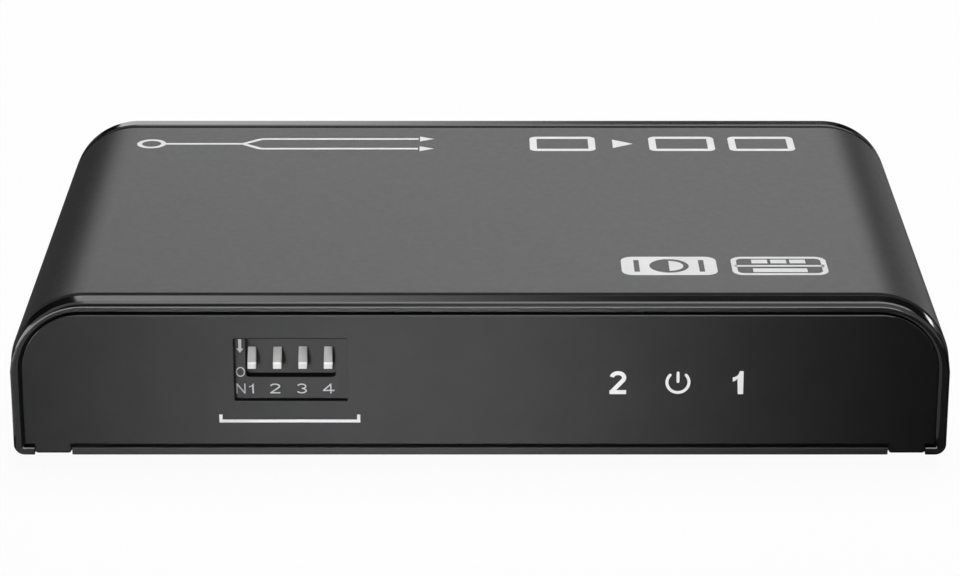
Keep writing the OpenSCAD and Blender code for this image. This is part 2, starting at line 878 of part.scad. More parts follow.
module chip_resistors() {
    color(chip_black) for (i = [0:resistor_count - 1])
        on_deck([resistor_start.x, resistor_start.y - i * resistor_step], resistor_size);
}

module chip_capacitors() {
    color(ceramic_tan) for (i = [0:cap_chip_count - 1])
        on_deck([cap_chip_start.x, cap_chip_start.y + i * cap_chip_step], cap_chip_size);
}

// Assembly

top_cover();
base_plate();
front_panel();
rear_panel();
case_screws();
foot(-1, -1);  // foot_front_left
foot(1, -1);  // foot_front_right
foot(-1, 1);  // foot_rear_left
foot(1, 1);  // foot_rear_right
circuit_board();
board_standoffs();
board_screws();
port_shell(output_1_x);  // output_1_shell
port_insulator(output_1_x);  // output_1_insulator
port_contacts(output_1_x);  // output_1_contacts
port_shell(output_2_x);  // output_2_shell
port_insulator(output_2_x);  // output_2_insulator
port_contacts(output_2_x);  // output_2_contacts
port_shell(input_x);  // input_shell
port_insulator(input_x);  // input_insulator
port_contacts(input_x);  // input_contacts
power_jack_body();
power_jack_pin();
power_jack_spring();
selector_housing();
selector_base();
selector_leads();
selector_lever(0);  // selector_lever_1
selector_lever(1);  // selector_lever_2
selector_lever(2);  // selector_lever_3
selector_lever(3);  // selector_lever_4
indicator(-1);  // indicator_2
indicator(0);  // indicator_power
indicator(1);  // indicator_1
indicator_holder();
led(-1);  // led_2
led(0);  // led_power
led(1);  // led_1
splitter_chip();
thermal_pad();
heat_sink();
controller_chip();
memory_chip();
surge_arrays();
regulator();
inductor();
filter_capacitors();
crystal();
chip_resistors();
chip_capacitors();
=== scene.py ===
"""Looks of a one-to-two video splitter box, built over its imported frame.

Sizes are millimetres in the part's own frame: the front faces -Y, +X is to the right seen from the front,
+Z is up and z = 0 is the desk. Meshes are made in metres.
"""

import logging
import math
from dataclasses import dataclass, field
from enum import Enum
from typing import Iterable, Sequence

import bmesh
import bpy
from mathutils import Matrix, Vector
from mathutils.geometry import delaunay_2d_cdt, tessellate_polygon


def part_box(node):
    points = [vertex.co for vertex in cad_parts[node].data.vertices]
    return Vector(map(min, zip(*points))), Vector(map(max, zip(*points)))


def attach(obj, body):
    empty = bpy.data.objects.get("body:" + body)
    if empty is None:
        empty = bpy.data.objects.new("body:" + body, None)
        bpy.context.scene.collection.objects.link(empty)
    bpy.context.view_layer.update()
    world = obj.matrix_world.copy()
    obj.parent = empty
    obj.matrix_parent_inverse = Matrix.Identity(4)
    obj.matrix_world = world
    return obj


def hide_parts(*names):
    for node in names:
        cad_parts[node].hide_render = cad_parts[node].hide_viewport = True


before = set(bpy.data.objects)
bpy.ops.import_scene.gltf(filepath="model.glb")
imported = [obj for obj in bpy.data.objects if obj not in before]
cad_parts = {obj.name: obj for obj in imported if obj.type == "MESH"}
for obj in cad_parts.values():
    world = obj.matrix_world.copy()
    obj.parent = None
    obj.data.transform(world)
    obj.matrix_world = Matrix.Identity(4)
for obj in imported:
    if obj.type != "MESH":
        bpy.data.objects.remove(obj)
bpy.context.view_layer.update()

LOG = logging.getLogger("splitter_box")
MM = 0.001
CASE_BODY = "case"
WHITE = (1.0, 1.0, 1.0, 1.0)

# Radius of a corner, for one millimetre of rounding on the edges that end at it
CORNER_TO_EDGE = 1.5
FACE_CORNER_TO_EDGE = 2.0

# Distance within which the points of a flat shape count as one
WELD = 1e-5

# Angle in degrees above which an edge stays sharp
SHARP_TURN = 38.0

Point = tuple[float, float]
Corner = tuple[float, float, float]
Colour = tuple[float, float, float]
Place = tuple[float, float, float]


# Flat shapes


def fillet(here: Vector, back: Vector, ahead: Vector, radius: float, steps: int) -> list[Point]:
    """Round one corner of a line.

    Args:
        here: The corner.
        back: Direction from the corner to the point before it.
        ahead: Direction from the corner to the point after it.
        radius: Radius of the rounding, or 0 for a sharp corner.
        steps: Number of pieces in the arc.

    Returns:
        The points that take the corner's place.
    """
    if radius <= 0:
        return [(here.x, here.y)]
    half = back.angle(ahead) / 2
    centre = here + (back + ahead).normalized() * (radius / math.sin(half))
    start = here + back * (radius / math.tan(half)) - centre
    end = here + ahead * (radius / math.tan(half)) - centre
    first = math.atan2(start.y, start.x)
    sweep = (math.atan2(end.y, end.x) - first + math.pi) % (2 * math.pi) - math.pi
    turns = [first + sweep * k / steps for k in range(steps + 1)]
    return [(centre.x + radius * math.cos(t), centre.y + radius * math.sin(t)) for t in turns]


def soft_line(corners: Sequence[Corner], steps: int) -> list[Point]:
    """Line through corners, each rounded by its own radius.

    Args:
        corners: Each corner as x, y and rounding radius, which is 0 at the ends of an open line.
        steps: Number of pieces in each arc.

    Returns:
        The points of the line.
    """
    spots = [Vector(corner[:2]) for corner in corners]
    points: list[Point] = []
    for i, here in enumerate(spots):
        back = (spots[i - 1] - here).normalized()
        ahead = (spots[(i + 1) % len(spots)] - here).normalized()
        points += fillet(here, back, ahead, corners[i][2], steps)
    return points


def oval_arc(centre: Point, radii: Point, start: float, end: float, steps: int = 16) -> list[Point]:
    """Points on an arc of an oval.

    Args:
        centre: Middle of the oval.
        radii: Its two half widths.
        start: First angle, in degrees.
        end: Last angle, in degrees.
        steps: Number of pieces in the arc.

    Returns:
        The points, the two ends included.
    """
    turns = [math.radians(start + (end - start) * k / steps) for k in range(steps + 1)]
    return [(centre[0] + radii[0] * math.cos(t), centre[1] + radii[1] * math.sin(t)) for t in turns]


def sideways(before: Vector, after: Vector) -> Vector:
    """Step to the right of a bend that moves both of its legs by one."""
    return Vector((before.y + after.y, -before.x - after.x)) / (1 + before.dot(after))


@dataclass(frozen=True)
class Outline:
    """Closed line in a plane."""

    points: tuple[Point, ...]

    @classmethod
    def rounded(cls, corners: Sequence[Corner], steps: int = 6) -> "Outline":
        """Polygon whose corners are given as x, y and rounding radius."""
        return cls(tuple(soft_line(corners, steps)))

    @classmethod
    def mirrored(cls, right: Sequence[Corner], steps: int = 6) -> "Outline":
        """Polygon with two like halves, given by the corners of the right one from the bottom up."""
        left = [(-x, y, radius) for x, y, radius in reversed(right)]
        return cls.rounded([*right, *left], steps)

    @classmethod
    def box(cls, low: Point, high: Point, radius: float = 0.0, steps: int = 4) -> "Outline":
        """Rectangle between two corners, with rounded corners."""
        spots = [(low[0], low[1]), (high[0], low[1]), (high[0], high[1]), (low[0], high[1])]
        return cls.rounded([(x, y, radius) for x, y in spots], steps)

    @classmethod
    def centred(cls, middle: Point, size: Point, radius: float = 0.0, steps: int = 4) -> "Outline":
        """Rectangle about its middle, with rounded corners."""
        w, h = (length / 2 for length in size)
        return cls.box((middle[0] - w, middle[1] - h), (middle[0] + w, middle[1] + h), radius, steps)

    @classmethod
    def circle(cls, centre: Point, radius: float, steps: int = 48) -> "Outline":
        """Circle, counterclockwise from its right side."""
        return cls(tuple(oval_arc(centre, (radius, radius), 0, 360, steps)[:-1]))

    @classmethod
    def pointer(cls, tip: Point, length: float, half: float) -> "Outline":
        """Triangle that points to the right, or to the left if its length is negative."""
        back = tip[0] - length
        return cls((tip, (back, tip[1] + half), (back, tip[1] - half)))

    @classmethod
    def stroke(cls, path: Sequence[Point], width: float) -> "Outline":
        """Outline of a pen stroke with flat ends.

        Args:
            path: Points along the middle of the stroke.
            width: Width of the pen.

        Returns:
            The outline.
        """
        spots = [Vector(p) for p in path]
        legs = [(b - a).normalized() for a, b in zip(spots, spots[1:])]
        bends = zip(legs[:1] + legs, legs + legs[-1:])
        steps = [sideways(before, after) * (width / 2) for before, after in bends]
        right = [tuple(here + step) for here, step in zip(spots, steps)]
        left = [tuple(here - step) for here, step in zip(spots, steps)]
        return cls(tuple(right + left[::-1]))

    @property
    def area(self) -> float:
        """Area inside, negative for a clockwise line."""
        pairs = zip(self.points, self.points[1:] + self.points[:1])
        return sum(a[0] * b[1] - b[0] * a[1] for a, b in pairs) / 2

    def wound(self, counterclockwise: bool) -> "Outline":
        """The same line, run the given way round."""
        return self if (self.area > 0) == counterclockwise else Outline(self.points[::-1])

    def moved(self, across: float, up: float) -> "Outline":
        """The same line at another place."""
        return Outline(tuple((x + across, y + up) for x, y in self.points))

    def grown(self, by: float) -> "Outline":
        """Line moved sideways, outwards for a counterclockwise one.

        Args:
            by: Distance to move.

        Returns:
            The moved outline, with as many points.
        """
        if by == 0:
            return self
        spots = [Vector(p) for p in self.points]
        legs = [(b - a).normalized() for a, b in zip(spots[-1:] + spots, spots)]
        bends = zip(spots, legs, legs[1:] + legs[:1])
        return Outline(tuple(tuple(here + sideways(before, after) * by) for here, before, after in bends))

    def holds(self, spot: Point) -> bool:
        """Whether a point lies inside.

        Args:
            spot: The point.

        Returns:
            True inside the line, whichever way it runs.
        """
        inside = False
        for a, b in zip(self.points, self.points[1:] + self.points[:1]):
            if (a[1] > spot[1]) != (b[1] > spot[1]):
                reach = a[0] + (spot[1] - a[1]) * (b[0] - a[0]) / (b[1] - a[1])
                inside ^= spot[0] < reach
        return inside


@dataclass(frozen=True)
class Stencil:
    """Filled outlines joined into one flat shape, less what is cleared from them."""

    filled: tuple[Outline, ...]
    cleared: tuple[Outline, ...] = ()

    def moved(self, across: float, up: float) -> "Stencil":
        """The same shape at another place."""
        shift = [tuple(o.moved(across, up) for o in group) for group in (self.filled, self.cleared)]
        return Stencil(*shift)

    def triangles(self) -> tuple[list[Point], list[tuple[int, ...]]]:
        """Cut the shape into triangles.

        Returns:
            The points and, as counterclockwise triples of their numbers, the triangles.
        """
        spots: list[Vector] = []
        edges: list[tuple[int, int]] = []
        for outline in self.filled + self.cleared:
            first = len(spots)
            count = len(outline.points)
            spots += [Vector(p) for p in outline.points]
            edges += [(first + i, first + (i + 1) % count) for i in range(count)]
        points, _, faces, *_ = delaunay_2d_cdt(spots, edges, [], 0, WELD)
        kept = []
        for face in faces:
            middle = sum((points[i] for i in face), Vector((0, 0))) / len(face)
            if any(o.holds(middle) for o in self.filled) and not any(o.holds(middle) for o in self.cleared):
                kept.append(tuple(face))
        return [tuple(p) for p in points], kept

    @staticmethod
    def border(faces: list[tuple[int, ...]]) -> list[tuple[int, int]]:
        """Sides that only one of the faces has."""
        sides = {(face[i - 1], face[i]) for face in faces for i in range(len(face))}
        return [(a, b) for a, b in sides if (b, a) not in sides]

    def rims(self) -> list[Outline]:
        """Lines round the shape and round its holes.

        Returns:
            The outlines, with the shape on the left of each.
        """
        points, faces = self.triangles()
        follow = dict(self.border(faces))
        found = []
        while follow:
            start, here = follow.popitem()
            line = [start]
            while here != start:
                line.append(here)
                here = follow.pop(here)
            found.append(Outline(tuple(points[i] for i in line)))
        return found


# Solids


class Facing(Enum):
    """Plane that an outline is drawn in, and the axis that it is carried along."""

    FRONT = (0, 2, 1, 1)
    REAR = (0, 2, 1, -1)
    UP = (0, 1, 2, 1)
    SIDE = (1, 2, 0, 1)

    def place(self, spot: Point, depth: float) -> Vector:
        """Point in the part's frame, in metres.

        Args:
            spot: Place in the outline's plane.
            depth: Place along the axis.

        Returns:
            The point.
        """
        across, up, along, sign = self.value
        point = Vector((0, 0, 0))
        point[across] = spot[0] * sign
        point[up] = spot[1]
        point[along] = depth
        return point * MM


@dataclass(frozen=True)
class Rim:
    """Edge line of a plate, with the rounding of its two rims or a cone that widens it at the near face."""

    outline: Outline
    edge: float = 0.0
    cone: float = 0.0
    steps: int = 3

    def rows(self, span: Point, one_end: bool) -> list[Point]:
        """Inset and depth of each ring of points from the near face to the far one.

        Args:
            span: Depths of the near and the far face.
            one_end: True to round the near rim only.

        Returns:
            The rows, as inset and depth.
        """
        near, far = span
        if self.cone:
            return [(self.cone, near), (0.0, far)]
        if not self.edge:
            return [(0.0, near), (0.0, far)]
        way = math.copysign(1, far - near)
        turns = [math.radians(90 * k / self.steps) for k in range(self.steps + 1)]
        curve = [(self.edge * (1 - math.sin(t)), way * self.edge * (1 - math.cos(t))) for t in turns]
        first = [(inset, near + depth) for inset, depth in curve]
        if one_end:
            return first + [(0.0, far)]
        return first + [(inset, far - depth) for inset, depth in reversed(curve)]


class Solid:
    """Mesh under construction, of one or more closed shapes."""

    def __init__(self) -> None:
        """Start with no faces."""
        self.mesh = bmesh.new()

    def ring(self, outline: Outline, facing: Facing, depth: float) -> list[bmesh.types.BMVert]:
        """One vertex for each point of an outline."""
        return [self.mesh.verts.new(facing.place(p, depth)) for p in outline.points]

    def face(self, corners: Iterable[bmesh.types.BMVert], tone: int) -> None:
        """One face with the given material slot."""
        made = self.mesh.faces.new(tuple(corners))
        made.material_index = tone

    def bridge(self, one: list, two: list, tone: int = 0) -> None:
        """Faces between two closed rings, either of which may be a single point.

        Args:
            one: First ring.
            two: Second ring.
            tone: Material slot.
        """
        count = max(len(one), len(two))
        for i in range(count):
            j = (i + 1) % count
            if len(one) == 1:
                self.face((one[0], two[j], two[i]), tone)
            elif len(two) == 1:
                self.face((one[i], one[j], two[0]), tone)
            else:
                self.face((one[i], one[j], two[j], two[i]), tone)

    def cap(self, rings: list, tone: int) -> None:
        """Flat face inside the first ring, with the other rings as holes.

        Args:
            rings: The rings of vertices.
            tone: Material slot.
        """
        if len(rings) == 1:
            self.face(rings[0], tone)
            return
        corners = [v for ring in rings for v in ring]
        for triple in tessellate_polygon([[v.co / MM for v in ring] for ring in rings]):
            self.face((corners[i] for i in triple), tone)

    def wall(self, rim: Rim, facing: Facing, span: Point, outside: bool, tone: int = 0,
             straight: int | None = None, one_end: bool = False) -> tuple[list, list]:
        """Wall along a line, from one depth to another.

        Args:
            rim: The line and its rounding.
            facing: How the line lies.
            span: Depths of the wall's two ends.
            outside: True for an outer wall, False for that of a hole.
            tone: Material slot.
            straight: Material slot between the roundings, if it is another.
            one_end: True to round the first end only.

        Returns:
            The first and the last ring.
        """
        line = rim.outline.wound(outside)
        rows = rim.rows(span, one_end)
        rings = [self.ring(line.grown(-inset), facing, depth) for inset, depth in rows]
        for i, (one, two) in enumerate(zip(rings, rings[1:])):
            plain = straight is not None and rows[i][0] == rows[i + 1][0]
            self.bridge(one, two, straight if plain else tone)
        return rings[0], rings[-1]

    def plate(self, rims: Sequence[Rim], facing: Facing, span: Point, tone: int = 0,
              wall_tone: int | None = None) -> "Solid":
        """Sheet with rounded rims.

        Args:
            rims: The outer rim, then those of the holes.
            facing: How the sheet lies.
            span: Depths of its two faces.
            tone: Material slot.
            wall_tone: Material slot of the straight walls, if it is another.

        Returns:
            This solid.
        """
        walls = [self.wall(rim, facing, span, rim is rims[0], tone, wall_tone) for rim in rims]
        for rings in zip(*walls):
            self.cap(list(rings), tone)
        return self

    def block(self, low: Place, high: Place, edge: float) -> "Solid":
        """Box with rounded edges, between two corners."""
        outline = Outline.box(low[:2], high[:2], edge * CORNER_TO_EDGE)
        return self.plate([Rim(outline, edge)], Facing.UP, (low[2], high[2]))

    def lathe(self, profile: Sequence[Point], facing: Facing, centre: Point) -> "Solid":
        """Turned shape.

        Args:
            profile: Radius and depth of each ring, from one end to the other.
            facing: Axis that it is turned about.
            centre: Place of the axis.

        Returns:
            This solid.
        """
        rings = []
        for radius, depth in profile:
            line = Outline.circle(centre, radius) if radius else Outline((centre,))
            rings.append(self.ring(line, facing, depth))
        for one, two in zip(rings, rings[1:]):
            self.bridge(one, two)
        return self

    def stamp(self, stencil: Stencil, facing: Facing, span: Point, tone: int = 0) -> "Solid":
        """Flat shape of any outline, carried from one depth to another.

        Args:
            stencil: The shape.
            facing: How it lies.
            span: Its two depths.
            tone: Material slot.

        Returns:
            This solid.
        """
        points, faces = stencil.triangles()
        layers = [[self.mesh.verts.new(facing.place(p, depth)) for p in points] for depth in span]
        for triple in faces:
            self.face((layers[0][i] for i in triple), tone)
            self.face((layers[1][i] for i in reversed(triple)), tone)
        for a, b in stencil.border(faces):
            self.face((layers[0][a], layers[0][b], layers[1][b], layers[1][a]), tone)
        loose = [v for v in self.mesh.verts if not v.link_faces]
        bmesh.ops.delete(self.mesh, geom=loose, context="VERTS")
        return self

    def finish(self, name: str) -> bpy.types.Object:
        """Turn the mesh into a smooth-shaded object.

        Args:
            name: Name of the object.

        Returns:
            The object, linked to the scene.
        """
        bmesh.ops.recalc_face_normals(self.mesh, faces=self.mesh.faces[:])
        made = bpy.data.meshes.new(name)
        self.mesh.to_mesh(made)
        self.mesh.free()
        made.shade_smooth()
        made.set_sharp_from_angle(angle=math.radians(SHARP_TURN))
        piece = bpy.data.objects.new(name, made)
        bpy.context.scene.collection.objects.link(piece)
        weights = piece.modifiers.new("even_shading", "WEIGHTED_NORMAL")
        weights.keep_sharp = True
        return piece


# Finishes


class NodeDesk:
    """Adds and links the nodes of one material or world."""

    def __init__(self, owner: bpy.types.ID) -> None:
        """Start from an empty tree.

        Args:
            owner: The material or world.
        """
        owner.use_nodes = True
        self.tree = owner.node_tree
        self.tree.nodes.clear()

    def add(self, kind: str, inputs: dict | None = None, **settings: object) -> bpy.types.Node:
        """Add a node.

        Args:
            kind: Blender's name of the node.
            inputs: Value, or socket to link, for each named or numbered input.
            settings: Properties of the node itself.

        Returns:
            The node.
        """
        node = self.tree.nodes.new(kind)
        for key, value in settings.items():
            setattr(node, key, value)
        for key, value in (inputs or {}).items():
            if isinstance(value, bpy.types.NodeSocket):
                self.tree.links.new(value, node.inputs[key])
            else:
                node.inputs[key].default_value = value
        return node

    def noise(self, stretch: Place, scale: float, detail: float) -> bpy.types.NodeSocket:
        """Noise that lies in an object.

        Args:
            stretch: Scale along each axis.
            scale: Cells per metre.
            detail: Number of finer layers.

        Returns:
            The socket of its level.
        """
        spot = self.add("ShaderNodeTexCoord").outputs["Object"]
        lie = self.add("ShaderNodeMapping", {"Vector": spot, "Scale": stretch}).outputs["Vector"]
        noise = self.add("ShaderNodeTexNoise", {"Vector": lie, "Scale": scale, "Detail": detail})
        return noise.outputs["Fac"]

    def mix(self, share: object, one: bpy.types.Node, two: bpy.types.Node) -> bpy.types.Node:
        """Mix of two shaders, all of the second one where the share is one."""
        return self.add("ShaderNodeMixShader", {0: share, 1: one.outputs[0], 2: two.outputs[0]})


@dataclass(frozen=True)
class Finish:
    """Surface with a colour that varies a little, a grain and an uneven gloss."""

    name: str
    colour: Colour
    roughness: float
    metallic: float = 0.0
    specular: float = 0.5
    mottle: float = 0.08
    mottle_scale: float = 260.0
    mottle_detail: float = 4.0
    mottle_ends: Point = (0.3, 0.7)
    grain: float = 0.15
    grain_scale: float = 5200.0
    grain_depth: float = 0.006
    grain_detail: float = 2.0
    uneven: float = 0.05
    uneven_scale: float = 0.25
    uneven_detail: float = 3.0
    stretch: Place = (1.0, 1.0, 1.0)
    coat: float = 0.0
    glow: float = 0.0

    def material(self) -> bpy.types.Material:
        """The finish as a material, made once.

        Returns:
            The material.
        """
        name = f"finish_{self.name}"
        made = bpy.data.materials.get(name)
        if made:
            return made
        made = bpy.data.materials.new(name)
        desk = NodeDesk(made)
        clouds = desk.noise(self.stretch, self.mottle_scale, self.mottle_detail)
        shade = desk.add("ShaderNodeValToRGB", {"Fac": clouds})
        for stop, place, sign in zip(shade.color_ramp.elements, self.mottle_ends, (-1, 1)):
            stop.color = (*(min(1.0, c * (1 + sign * self.mottle)) for c in self.colour), 1.0)
            stop.position = place
        gloss = desk.add("ShaderNodeMapRange", {
            "Value": desk.noise(self.stretch, self.grain_scale * self.uneven_scale, self.uneven_detail),
            "To Min": self.roughness - self.uneven,
            "To Max": self.roughness + self.uneven,
        })
        relief = desk.add("ShaderNodeBump", {
            "Height": desk.noise(self.stretch, self.grain_scale, self.grain_detail),
            "Strength": self.grain,
            "Distance": self.grain_depth * MM,
        })
        shader = desk.add("ShaderNodeBsdfPrincipled", {
            "Base Color": shade.outputs["Color"],
            "Roughness": gloss.outputs["Result"],
            "Normal": relief.outputs["Normal"],
            "Metallic": self.metallic,
            "Specular IOR Level": self.specular,
            "Coat Weight": self.coat,
            "Emission Color": (*self.colour, 1.0),
            "Emission Strength": self.glow,
        })
        desk.add("ShaderNodeOutputMaterial", {"Surface": shader.outputs["BSDF"]})
        return made

    def dress(self, piece: bpy.types.Object) -> None:
        """Make this the only finish of an object."""
        piece.data.materials.clear()
        piece.data.materials.append(self.material())


COVER_COAT = Finish("cover_coat", (0.012, 0.012, 0.0122), 0.45, mottle=0.05, grain=0.2)
BAND_GLOSS = Finish("polished_band", (0.006, 0.006, 0.006), 0.13, mottle=0.05, grain=0.03, uneven=0.02)
GROOVE_DARK = Finish("groove_shadow_coat", (0.012, 0.012, 0.012), 0.5, specular=0.1)
# Matt grey, far lighter than the black cover coat: painted light that stands for the front light on the
# cover's end face
END_FACE_PAINTED_LIGHT = Finish("end_face_painted_light", (0.084, 0.084, 0.085), 0.5, specular=0.005, mottle=0.04, grain=0.01)
PANEL_COAT = Finish("panel_coat", (0.07, 0.07, 0.071), 0.5, specular=0.005, mottle=0.04, grain=0.2)
BASE_COAT = Finish("base_coat", (0.05, 0.05, 0.05), 0.5, specular=0.25, mottle=0.05, grain=0.2)
# Near-black painted shade for hole and slot walls, the seams between parts, the cover's inside and
# down-facing rims
PAINTED_SHADE_BLACK = Finish("painted_shade_black", (0.006, 0.006, 0.006), 0.7, specular=0.05)
FOOT_RUBBER = Finish("foot_rubber", (0.02, 0.02, 0.02), 0.75, specular=0.3, grain=0.4, grain_scale=3000.0)
SCREW_STEEL = Finish("screw_steel", (0.5, 0.5, 0.52), 0.3, 1.0, mottle=0.1, grain=0.1, stretch=(1, 1, 12))
PORT_STEEL = Finish("port_steel", (0.62, 0.62, 0.63), 0.28, 1.0, mottle=0.06, grain=0.12, stretch=(1, 14, 1))
BLACK_MOULDING = Finish("black_moulding", (0.014, 0.014, 0.014), 0.45, specular=0.4, grain=0.3,
                        grain_scale=3600.0)
CONTACT_GOLD = Finish("contact_gold", (0.83, 0.58, 0.22), 0.22, 1.0, mottle=0.05, grain=0.05)
TERMINAL_TIN = Finish("terminal_tin", (0.72, 0.72, 0.73), 0.3, 1.0, mottle=0.08, grain=0.1)
SELECTOR_GREY = Finish("selector_grey", (0.053, 0.053, 0.054), 0.55, specular=0.2, mottle=0.06, grain=0.3)
LEVER_WHITE = Finish("lever_white", (0.75, 0.75, 0.74), 0.45, specular=0.2, mottle=0.03, grain=0.04)
# Darker white: painted shade on each lever's upper slope
SLOPE_PAINTED_SHADE = Finish("lever_slope_painted_shade", (0.61, 0.61, 0.6), 0.45, specular=0.2, mottle=0.03, grain=0.04)
# Near-white painted highlight along each lever's ridge
RIDGE_PAINTED_HIGHLIGHT = Finish("ridge_painted_highlight", (0.96, 0.96, 0.95), 0.2, mottle=0.02, grain=0.05)
SIGN_LIGHT = Finish("lit_sign", (0.4, 0.4, 0.4), 0.4, specular=0.3, mottle=0.02, glow=1.5)
PIPE_CLEAR = Finish("light_pipe", (0.8, 0.82, 0.84), 0.2, specular=0.5, mottle=0.03)
PRINT_WHITE = Finish("white_print", (0.82, 0.82, 0.82), 0.6, specular=0.2, mottle=0.04, grain=0.2)
DIGIT_WHITE = Finish("digit_print", (0.58, 0.58, 0.58), 0.6, specular=0.2, mottle=0.04, grain=0.2)
PRINT_GREY = Finish("grey_print", (0.5, 0.5, 0.5), 0.6, specular=0.2, mottle=0.06, grain=0.2)
BOARD_LAMINATE = Finish("board_laminate", (0.012, 0.075, 0.03), 0.35, mottle=0.25, mottle_scale=900.0,
                        coat=0.3)
CHIP_BLACK = Finish("chip_black", (0.02, 0.02, 0.021), 0.5, grain=0.3, grain_scale=4200.0)
FERRITE = Finish("ferrite", (0.06, 0.06, 0.062), 0.7, grain=0.5, grain_scale=3000.0)
PAD_GREY = Finish("pad_grey", (0.3, 0.34, 0.38), 0.8, grain=0.3)
BARE_ALUMINIUM = Finish("bare_aluminium", (0.6, 0.6, 0.62), 0.35, 1.0, grain=0.15, stretch=(1, 18, 1))
CHIP_CERAMIC = Finish("chip_ceramic", (0.32, 0.22, 0.13), 0.5, mottle=0.12)


@dataclass(frozen=True)
class Piece:
    """Place of a mesh in the assembly: its name, finish slot, body and the nodes that it stands for."""

    name: str
    slot: str
    nodes: tuple[str, ...] = ()
    body: str = CASE_BODY

    def add(self, solid: Solid, *finishes: Finish) -> None:
        """Make the object, dress it and set it on its body.

        Args:
            solid: The shape.
            finishes: One finish for each material slot of the shape.
        """
        piece = solid.finish(self.name)
        for finish in finishes:
            piece.data.materials.append(finish.material())
        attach(piece, self.body)
        if self.nodes:
            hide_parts(*self.nodes)
        stood_for = ", ".join(self.nodes) or "no node"
        LOG.info("%s rides on %s and stands for %s", self.name, self.body, stood_for)


# Case


@dataclass(frozen=True)
class NodeBox:
    """Lowest and highest corner of a node, in millimetres."""

    low: Vector
    high: Vector

    @classmethod
    def of(cls, node: str) -> "NodeBox":
        """Box of a named node."""
        low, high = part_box(node)
        return cls(low / MM, high / MM)

    @property
    def middle(self) -> Vector:
        """Middle of the box."""
        return (self.low + self.high) / 2

    def front_line(self, edge: float) -> Outline:
        """Outline of the box seen from the front, for edges of the given rounding."""
        low, high = self.low, self.high
        return Outline.box((low.x, low.z), (high.x, high.z), edge * FACE_CORNER_TO_EDGE)


@dataclass(frozen=True)
class CaseSizes:
    """Sizes that the pieces of the case share."""

    box: NodeBox = field(default_factory=lambda: NodeBox.of("top_cover"))
    corner: float = 7.8
    inner_corner: float = 6.35
    lower: float = 1.15
    top_wall: float = 1.3
    side_wall: float = 1.0
    lip: float = 2.2
    sheet: float = 0.8
    seam: float = 0.3
    notch: float = 3.5
    leg_rise: float = 0.2
    leg_play: float = 0.1
    post_inset: Point = (5.5, 4.0)
    post_radius: float = 2.8
    screw_radius: float = 1.2

    @property
    def half(self) -> float:
        """Half of the cover's width."""
        return self.box.high.x

    @property
    def front(self) -> float:
        """Place of the front end."""
        return self.box.low.y

    @property
    def rear(self) -> float:
        """Place of the rear end."""
        return self.box.high.y

    @property
    def floor(self) -> float:
        """Height of the underside."""
        return self.box.low.z

    @property
    def roof(self) -> float:
        """Height of the top face."""
        return self.box.high.z

    @property
    def base_top(self) -> float:
        """Height of the base's upper face."""
        return self.floor + self.sheet

    @property
    def inner_half(self) -> float:
        """Half of the cover's inner width."""
        return self.half - self.side_wall

    @property
    def ceiling(self) -> float:
        """Height of the cover's inner face."""
        return self.roof - self.top_wall

    @property
    def inner_lower(self) -> float:
        """Radius of the lower corners inside the cover."""
        return self.lower - self.side_wall

    @property
    def base_half(self) -> float:
        """Half of the base's width."""
        return self.half - self.lip - self.seam

    @property
    def post(self) -> Point:
        """Place of the right rear screw post."""
        return (self.inner_half - self.post_inset[0], self.rear - self.sheet - self.post_inset[1])

    def posts(self) -> list[Point]:
        """Places of the four screw posts."""
        return [(side * self.post[0], end * self.post[1]) for side in (-1, 1) for end in (-1, 1)]


CASE = CaseSizes()


class CoverTone(Enum):
    """Material slots of the cover."""

    COAT = 0
    BAND = 1
    GROOVE = 2
    FACE = 3
    INSIDE = 4


@dataclass(frozen=True)
class CoverRim:
    """Profile of one end of the cover: groove, sloping polished band, rounded edge and narrow face."""

    band: float
    groove: float
    band_in: float
    band_out: float
    edge_round: float
    face: float = 0.05
    matt_steps: int = 2
    groove_depth: float = 0.3
    groove_bottom: float = 0.4
    groove_round: float = 0.05
    shoulder_round: float = 0.05
    run_in: float = 0.4
    edge_steps: int = 12
    groove_steps: int = 4

    def line(self, share: float) -> list[tuple[float, float, int]]:
        """Profile from the end face inwards.

        Args:
            share: Part of the full depth that it has here.

        Returns:
            Distance from the end, depth below the surface, and material slot up to the next point.
        """
        groove_end = self.band + self.groove
        low, high = (depth * share * share for depth in (self.band_out, self.band_in))
        rounding = self.edge_round * share
        edge = soft_line([
            (0, low + rounding + self.face, 0),
            (0, low, rounding),
            (self.band, high, 0),
        ], self.edge_steps)
        groove = soft_line([
            edge[-2] + (0,),
            (self.band, high, self.shoulder_round),
            (self.band + self.groove * self.groove_bottom, self.groove_depth * share, self.groove_round),
            (groove_end, 0, self.groove_round),
            (groove_end + self.run_in, 0, 0),
        ], self.groove_steps)
        # The end face and the lowest facets of the rounded edge take the lighter end-face coat, painted
        # light
        matt = self.matt_steps
        tones = [CoverTone.FACE] * (1 + matt) + [CoverTone.BAND] * (self.edge_steps + 1 - matt)
        bend = self.groove_steps
        tones += [CoverTone.BAND] * bend + [CoverTone.GROOVE] * (2 * bend + 2)
        points = edge[:-1] + groove[1:]
        tones += [CoverTone.COAT] * (len(points) - len(tones))
        return [(*point, tone.value) for point, tone in zip(points, tones)]


